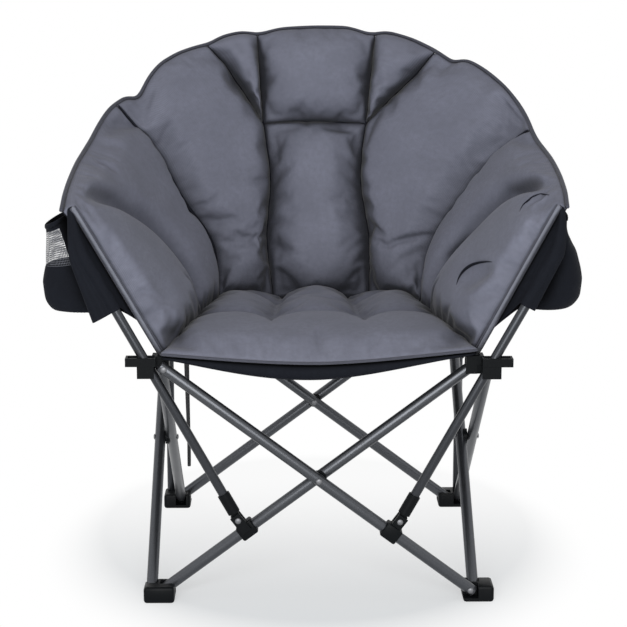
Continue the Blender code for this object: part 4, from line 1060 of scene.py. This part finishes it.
class CHAIR_OT_pouches(bpy.types.Operator):
    """Makes the cup pouch with its net window, the storage pouch, and the sleeves and pockets on the poles"""
    bl_idname = "chair.pouches"
    bl_label = "Pouches and Sleeves"

    # Bulges of the pouches: height from floor to mouth, and how far the outer side stands out in millimetres
    cup_swells = ((0.0, 1), (0.12, 6), (0.35, 11), (0.55, 4), (1.0, 1))
    storage_swells = ((0.0, -7), (0.10, 0), (0.3, 4), (0.6, -5), (0.9, -27), (1.0, -32))
    wall = 0.0018
    bag_grid = (48, 26)         # sides and rings
    flat = 0.0005               # depth in which a node's floor and mouth are looked for
    floor_round = 0.16          # how much the floor is drawn in, and up to which height, as shares
    crease = 0.0032             # heights and frequencies of the bags' creases and fine wrinkles
    crease_waves = (22, 22, 9)
    wrinkle = 0.0012
    wrinkle_waves = (60, 60, 34)
    bag_radius = 0.05           # for the cloth's pattern
    window = (0.53, 0.93)       # heights of the net window, and its turn to each side
    window_turn = 1.72
    net_grid = (52, 16)
    net_inset = 0.0006
    net_cord = 0.0009
    mouth = 0.985               # height of the binding round a pouch's mouth
    binding = (0.0042, 0.0022)  # its half width and half thickness

    sleeve_grid = (48, 44)      # sides and rings
    sleeve_room = 0.0022        # between a pole and its sleeve
    sleeve_wall = 0.0012
    sleeve_seam = (0.38, 0.60)  # low end of a sleeve's seam on the arm's front edge, and the seam's length
    seam_out = 0.001            # how far outside and behind the arm's edge the seam lies
    seam_behind = 0.003
    sleeve_lean = 0.92          # how far the sleeve's head leans to the seam
    sleeve_slack = 0.0009       # height and frequency of its wrinkles
    sleeve_waves = 55
    sleeve_flat = 0.62          # how much flatter its head is
    web_power = 12              # how narrow the sewn web and the flap are

    pocket_long = 0.02          # edges longer than this are cut
    pocket_cuts = 6
    pocket_slack = 0.0014
    pocket_waves = 60
    hem_rise = 0.005            # over the pocket's mouth
    hem_room = 0.0032           # round the pole
    hem = (0.0045, 0.0016)      # half width and half thickness

    def execute(self, context):
        cloth = context.scene.chair_cloth
        self.bag(cloth, "left_cup_pouch", slant=0.022, drop=0.006, net=True, swells=self.cup_swells)
        self.bag(cloth, "right_storage_pouch", slant=0.006, drop=0.002, net=False, swells=self.storage_swells)
        saucer = Saucer(cloth)
        for corner, sign in (("front_left", -1), ("front_right", 1)):
            self.sleeve(cloth, saucer, corner, sign)
        for corner in ("rear_left", "rear_right"):
            self.pocket(cloth, corner)
        return {"FINISHED"}

    def bag(self, cloth, node, slant, drop, net, swells):
        """A lofted shell between the node's floor and mouth, bulged and bound round its mouth. The mouth
        slants down to the outer side, and the floor drops below the node's."""
        points = corners_of(node)
        low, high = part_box(node)
        sign = side_of(low.x)
        floor = points[points[:, 2] < low.z + self.flat]
        mouth = points[points[:, 2] > high.z - self.flat]
        spans = [(ring.min(0), ring.max(0)) for ring in (floor, mouth)]

        def place(angle, t, inset=0.0):
            lows, highs = [spans[0][end] * (1 - t) + spans[1][end] * t for end in (0, 1)]
            middle, half = (lows + highs) / 2, (highs - lows) / 2
            round_off = 1 - self.floor_round * max(0.0, 1 - t / self.floor_round) ** 2
            outward = math.cos(angle)
            bulge = float(np.interp(t, *zip(*swells))) * MM
            bulge *= max(0.0, outward) if bulge > 0 else 0.5 + 0.5 * outward
            x = middle[0] + sign * (outward * (half[0] * round_off - inset) + bulge)
            y = middle[1] + math.sin(angle) * (half[1] * round_off - inset)
            z = low.z - drop * (1 - t) + (high.z - low.z - slant * (0.5 + 0.5 * outward)) * t
            crease, wrinkle = [noise.noise(Vector([c * wave for c, wave in zip((x, y, z), waves)]))
                               for waves in (self.crease_waves, self.wrinkle_waves)]
            pull = (self.crease * crease + self.wrinkle * wrinkle) * math.sin(math.pi * min(1.0, t * 1.02))
            return Vector((x, y, z)) + Vector((sign * outward, math.sin(angle), 0)) * (pull - self.wall)
        shape = bmesh.new()
        cloth_at = vector_layer(shape, "cloth")
        spots, _ = ring_stack(shape, *self.bag_grid, True)
        for vert, (angle, t) in spots.items():
            vert.co = place(angle, t)
            vert[cloth_at] = (angle * self.bag_radius, vert.co.z, 0.0)
        bmesh.ops.recalc_face_normals(shape, faces=shape.faces)
        if net:
            window = [face for face in shape.faces if all(self.in_window(*spots[v]) for v in face.verts)]
            self.net_pane(cloth, node, place, [spots[vert] for face in window for vert in face.verts])
            bmesh.ops.delete(shape, geom=window, context="FACES")
        piece = finish_mesh(node + "_bag", shape, [black_cloth(cloth)])
        thicken(piece, self.wall)
        subdivide(dress(piece, node))
        self.bind_mouth(cloth, node, place)

    def in_window(self, angle, t):
        return self.window[0] < t < self.window[1] and abs(angle) < self.window_turn

    def net_pane(self, cloth, node, place, spots):
        """The see-through net: a fine square mesh of cords in the window."""
        turns, heights = zip(*spots)
        shape = bmesh.new()
        bmesh.ops.create_grid(shape, x_segments=self.net_grid[0], y_segments=self.net_grid[1], size=1.0)
        for vert in shape.verts:
            angle = min(turns) + (max(turns) - min(turns)) * (0.5 + 0.5 * vert.co.x)
            t = min(heights) + (max(heights) - min(heights)) * (0.5 + 0.5 * vert.co.y)
            vert.co = place(angle, t, self.net_inset)
        bmesh.ops.wireframe(shape, faces=shape.faces, thickness=self.net_cord, use_replace=True,
                            use_boundary=True, use_even_offset=True)
        bmesh.ops.recalc_face_normals(shape, faces=shape.faces)
        sew_on(finish_mesh(node + "_net", shape, [knitted_net(cloth.net)]), node)

    def bind_mouth(self, cloth, node, place, count=64):
        """The folded binding round the mouth."""
        shape = bmesh.new()
        swept(shape, [place(angle, self.mouth) for angle in evenly(0, math.tau, count)], *self.binding)
        sew_on(finish_mesh(node + "_binding", shape, [black_cloth(cloth)]), node)

    def sleeve(self, cloth, saucer, corner, sign):
        """A cloth sleeve on a pole's top. It is sewn behind the arm's front edge, has a flap outside the
        pole, and lies flat against the arm above the pole's end."""
        node = corner + "_pole_sleeve"
        start, end, radius = tube_line(corner + "_pole")
        axis = (end - start).normalized()
        foot = start + axis * ((HUB_Z + SLEEVE_FOOT[sign] - start.z) / axis.z)
        outward = Vector((sign * axis.z, 0, -abs(axis.x)))
        up = axis.cross(outward)
        flap_foot, flap_head = SLEEVE_FLAP[sign]

        def sewn_at(h):
            edge = saucer.at(sign, h) - saucer.normal(sign, h) * self.seam_out
            return edge + REARWARD * self.seam_behind
        shape = bmesh.new()
        cloth_at = vector_layer(shape, "cloth")
        spots, top = ring_stack(shape, *self.sleeve_grid, False)
        bmesh.ops.edgeloop_fill(shape, edges=top)
        for vert, (angle, t) in spots.items():
            h = self.sleeve_seam[0] + self.sleeve_seam[1] * t
            seam = sewn_at(h)
            over = min(1.0, max(0.0, t - SLEEVE_BEND) / (1 - SLEEVE_BEND)) ** 1.3
            centre = foot.lerp(end, t).lerp(seam, over * self.sleeve_lean)
            reach = seam - centre
            reach -= axis * reach.dot(axis)
            seam_turn = math.atan2(reach.dot(up), reach.dot(outward))
            to_seam, to_flap = [max(0.0, math.cos(angle - turn)) ** self.web_power for turn in (seam_turn, 0)]
            spare = self.sleeve_slack * noise.noise(centre * self.sleeve_waves + Vector((angle, 0, 0)))
            out = (radius + self.sleeve_room + spare) * (1 - self.sleeve_flat * over)
            flap = (flap_foot * (1 - t) + flap_head * t) * (1 - 0.5 * over)
            wide = out + max(0.0, flap - out) * to_flap
            vert.co = centre + (outward * math.cos(angle) + up * math.sin(angle)) * wide
            vert.co = vert.co.lerp(sewn_at(h - SLEEVE_TAIL[sign] * (1 - t) ** 3), to_seam)
            vert[cloth_at] = (angle * out, t * (end - foot).length, 0.0)
        bmesh.ops.recalc_face_normals(shape, faces=shape.faces)
        piece = finish_mesh(node + "_cloth", shape, [black_cloth(cloth)])
        thicken(piece, self.sleeve_wall)
        subdivide(dress(piece, node))
        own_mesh(piece)
        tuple(end)

    def pocket(self, cloth, corner):
        """A pocket on the back of the saucer for a rear pole's top, wrinkled and hemmed round its mouth."""
        node = corner + "_pole_pocket"
        shape = merged_copy(node)
        cloth_at = vector_layer(shape, "cloth")
        long_edges = [edge for edge in shape.edges if edge.calc_length() > self.pocket_long]
        bmesh.ops.subdivide_edges(shape, edges=long_edges, cuts=self.pocket_cuts, use_grid_fill=True)
        bmesh.ops.triangulate(shape, faces=[face for face in shape.faces if len(face.verts) > 4])
        shape.normal_update()
        for vert in shape.verts:
            vert[cloth_at] = (vert.co.x + vert.co.y, vert.co.z, 0.0)
            vert.co += vert.normal * self.pocket_slack * noise.noise(vert.co * self.pocket_waves)
        _, end, radius = tube_line(corner + "_pole")
        mouth = Vector((end.x, end.y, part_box(node)[0].z + self.hem_rise))
        hem = [mouth + Vector((math.cos(turn), math.sin(turn), 0)) * (radius + self.hem_room)
               for turn in evenly(0, math.tau, 40)]
        swept(shape, hem, *self.hem)
        dress(finish_mesh(node + "_cloth", shape, [black_cloth(cloth)]), node)


class CHAIR_OT_strap(bpy.types.Operator):
    """Makes the narrow webbing loop that hangs from the rear left hub"""
    bl_idname = "chair.strap"
    bl_label = "Strap Loop"

    half_width = 0.0031
    half_thick = 0.0009

    def execute(self, context):
        cloth = context.scene.chair_cloth
        points = [Vector((-PIVOT_HALF + u, FRAME_Y + PIVOT_HALF - v, HUB_Z + w)) for u, v, w in STRAP_ROUTE]
        count = 6 * (len(points) - 1)
        path = [through(points, n / count) for n in range(count + 1)]
        shape = bmesh.new()
        swept(shape, path, self.half_width, self.half_thick, lambda n: Vector((1, 0, 0)), 12)
        piece = finish_mesh("rear_left_strap_webbing", shape, [ribbed_webbing(cloth.webbing)])
        dress(piece, "rear_left_strap_loop")
        run = sum((b - a).length for a, b in zip(path, path[1:]))
        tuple(path[0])
        return {"FINISHED"}


# Frame

def merged_copy(node):
    """A node's mesh with its loose triangles joined and its flat faces whole."""
    shape = bmesh.new()
    shape.from_mesh(frame["nodes"][node].data)
    bmesh.ops.remove_doubles(shape, verts=shape.verts, dist=1e-5)
    bmesh.ops.dissolve_limit(shape, angle_limit=math.radians(2), verts=shape.verts, edges=shape.edges)
    return shape


def stand(shape, way, middle):
    """Turns a shape from the upright to a direction and moves it to its place."""
    turn = UP.rotation_difference(way).to_matrix().to_4x4()
    bmesh.ops.transform(shape, verts=shape.verts, matrix=Matrix.Translation(middle) @ turn)


class CHAIR_OT_tubes(bpy.types.Operator):
    """Makes the round steel tubes of the scissor frame and the four poles"""
    bl_idname = "chair.tubes"
    bl_label = "Steel Tubes"

    rim_round = 0.0015          # rounding of a tube's ends

    def execute(self, context):
        finish = context.scene.chair_frame
        coats = {False: powder_coat("satin_powder_coat", finish.steel),
                 True: powder_coat("dark_satin_powder_coat", finish.pole)}
        for node in NODES:
            if not node.endswith(("_cross_tube", "_pole")):
                continue
            start, end, radius = tube_line(node)
            if node.startswith("front") and node.endswith("_pole"):
                end = start.lerp(end, (HUB_Z + POLE_SHOWN - start.z) / (end.z - start.z))
            axis = end - start
            shape = bmesh.new()
            bmesh.ops.create_cone(shape, cap_ends=True, segments=finish.tube_sides, radius1=radius,
                                  radius2=radius, depth=axis.length)
            rims = [edge for edge in shape.edges if abs(edge.verts[0].co.z - edge.verts[1].co.z) < 1e-6]
            bmesh.ops.bevel(shape, geom=rims, offset=self.rim_round, segments=3, profile=0.5, affect="EDGES",
                            material=-1)
            stand(shape, axis.normalized(), (start + end) / 2)
            piece = finish_mesh(node + "_steel", shape, [coats[node.endswith("_pole")]])
            piece.data.set_sharp_from_angle(angle=math.radians(35))
            dress(piece, node)
        return {"FINISHED"}


class CHAIR_OT_rivets(bpy.types.Operator):
    """Makes the domed rivets and clamp pins"""
    bl_idname = "chair.rivets"
    bl_label = "Rivets"

    dome = 0.0024               # height of a head
    dome_steps = 6
    chamfer = 0.0005            # on a pin's plain end
    pin_share = 0.5             # a pin's radius, as a share of its head's
    end_zone = 0.55             # share of the half length beyond which a head is looked for
    head_share = 0.9            # a node this wide there, as a share of its widest, has a head
    turns = 28

    def execute(self, context):
        finish = context.scene.chair_frame
        plate = plated_steel(finish.rivet)
        for node in NODES:
            if node.endswith(("_rivet", "_clamp_pin")):
                self.rivet(node, plate)
        return {"FINISHED"}

    def rivet(self, node, plate):
        """A rivet along its node's longest side, with a domed head at each end where the node has one."""
        low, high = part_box(node)
        size, middle = high - low, (low + high) / 2
        axis = max(range(3), key=lambda n: size[n])
        points = corners_of(node)
        radial = np.sqrt(sum((points[:, n] - middle[n]) ** 2 for n in range(3) if n != axis))
        half = size[axis] / 2
        head = radial.max()
        pin = head * self.pin_share
        profile = []
        for sign in (-1, 1):
            near = sign * (points[:, axis] - middle[axis]) > half * self.end_zone
            if radial[near].max() > head * self.head_share:
                outline = [(head * math.sin(turn), sign * (half - self.dome + self.dome * math.cos(turn)))
                           for turn in evenly(0, math.pi / 2, self.dome_steps)]
                outline += [(pin, sign * (half - self.dome))]
            else:
                outline = [(0.0, sign * half), (pin * 0.8, sign * half), (pin, sign * (half - self.chamfer))]
            profile += outline[::-sign]
        shape = bmesh.new()
        verts = [shape.verts.new((x, 0, z)) for x, z in profile]
        edges = [shape.edges.new(pair) for pair in zip(verts, verts[1:])]
        bmesh.ops.spin(shape, geom=verts + edges, cent=(0, 0, 0), axis=(0, 0, 1), angle=math.tau,
                       steps=self.turns, use_merge=True)
        bmesh.ops.remove_doubles(shape, verts=shape.verts, dist=1e-6)
        stand(shape, Vector([1.0 if n == axis else 0.0 for n in range(3)]), middle)
        bmesh.ops.recalc_face_normals(shape, faces=shape.faces)
        piece = finish_mesh(node + "_plated", shape, [plate])
        piece.data.set_sharp_from_angle(angle=math.radians(40))
        dress(piece, node)


class CHAIR_OT_mouldings(bpy.types.Operator):
    """Rounds the edges of the feet, hubs, spacers, clamps and ferrules and gives them their grain"""
    bl_idname = "chair.mouldings"
    bl_label = "Nylon Mouldings"

    def execute(self, context):
        finish = context.scene.chair_frame
        nylon = moulded_nylon(finish.nylon)
        for node in NODES:
            if not node.endswith(("_foot", "_hub", "_spacer", "_clamp", "_ferrule")):
                continue
            piece = finish_mesh(node + "_nylon", merged_copy(node), [nylon])
            piece.data.set_sharp_from_angle(angle=math.radians(30))
            step = piece.modifiers.new("Edges", "BEVEL")
            step.width = finish.edge
            step.segments = 3
            step.limit_method = "ANGLE"
            step.angle_limit = math.radians(35)
            step.harden_normals = True
            dress(piece, node)
        return {"FINISHED"}


# Stage

class CHAIR_OT_stage(bpy.types.Operator):
    """Sets the camera, the pale floor and the soft light"""
    bl_idname = "chair.stage"
    bl_label = "Stage"

    sensor = 36.0               # in millimetres
    floor_radius = 14.0
    aim = Vector((0.0, 0.0, 0.5))

    def execute(self, context):
        scene = context.scene
        stage = scene.chair_stage
        scene.view_settings.view_transform = "Standard"
        lens = bpy.data.cameras.new("view_camera")
        lens.lens = stage.lens
        lens.sensor_width = self.sensor
        camera = bpy.data.objects.new("view_camera", lens)
        camera.location = Vector(stage.eye) + Vector((0, FRAME_Y, 0))
        camera.rotation_euler = (math.pi / 2 - stage.pitch, 0.0, stage.yaw)
        scene.collection.objects.link(camera)
        scene.camera = camera
        self.floor(stage)
        self.light("key_softbox", (-0.3, -3.4, 1.5), 2.4, stage.key)
        self.light("left_fill", (-2.8, -0.8, 1.5), 2.0, stage.fill)
        self.light("right_fill", (2.8, -0.8, 1.6), 2.0, stage.fill)
        self.sky(scene, stage)
        return {"FINISHED"}

    def light(self, name, place, size, watts):
        """A soft round lamp that points at the chair."""
        lamp = bpy.data.lights.new(name, "AREA")
        lamp.shape = "DISK"
        lamp.size = size
        lamp.energy = watts
        made = bpy.data.objects.new(name, lamp)
        made.location = place
        made.rotation_euler = (self.aim - Vector(place)).to_track_quat("-Z", "Y").to_euler()
        bpy.context.scene.collection.objects.link(made)

    def floor(self, stage):
        shape = bmesh.new()
        bmesh.ops.create_circle(shape, cap_ends=True, segments=96, radius=self.floor_radius)
        made = pale_floor(stage.floor)
        finish_mesh("studio_floor", shape, [made], smooth=False)

    def sky(self, scene, stage):
        """White where it is seen, and dimmer as a light."""
        world = bpy.data.worlds.new("white_surround")
        world.use_nodes = True
        scene.world = world
        tree = world.node_tree
        strength = add(tree, "ShaderNodeMapRange", {"To Min": stage.sky, "To Max": 1.0},
                       {"Value": seen_directly(tree)}).outputs[0]
        join(tree, tree.nodes["Background"], {"Color": (1, 1, 1, 1)}, {"Strength": strength})


class CHAIR_PT_panel(bpy.types.Panel):
    """Lists the chair's pieces in the sidebar"""
    bl_idname = "CHAIR_PT_panel"
    bl_label = "Camping Chair"
    bl_space_type = "VIEW_3D"
    bl_region_type = "UI"
    bl_category = "Chair"

    def draw(self, context):
        for operator in OPERATORS:
            self.layout.operator(operator.bl_idname)


OPERATORS = (CHAIR_OT_stage, CHAIR_OT_strap, CHAIR_OT_tubes, CHAIR_OT_rivets, CHAIR_OT_mouldings,
             CHAIR_OT_saucer, CHAIR_OT_seat, CHAIR_OT_pouches)
GROUPS = {"chair_cloth": ChairCloth, "chair_frame": ChairFrameFinish, "chair_stage": ChairStage}


def register():
    for made in (*GROUPS.values(), *OPERATORS, CHAIR_PT_panel):
        bpy.utils.register_class(made)
    for name, made in GROUPS.items():
        setattr(bpy.types.Scene, name, PointerProperty(type=made))


def unregister():
    for name in GROUPS:
        delattr(bpy.types.Scene, name)
    for made in (CHAIR_PT_panel, *reversed(OPERATORS), *reversed(list(GROUPS.values()))):
        bpy.utils.unregister_class(made)


def main():
    register()
    for operator in OPERATORS:
        category, action = operator.bl_idname.split(".")
        getattr(getattr(bpy.ops, category), action)()


if __name__ == "__main__":
    main()
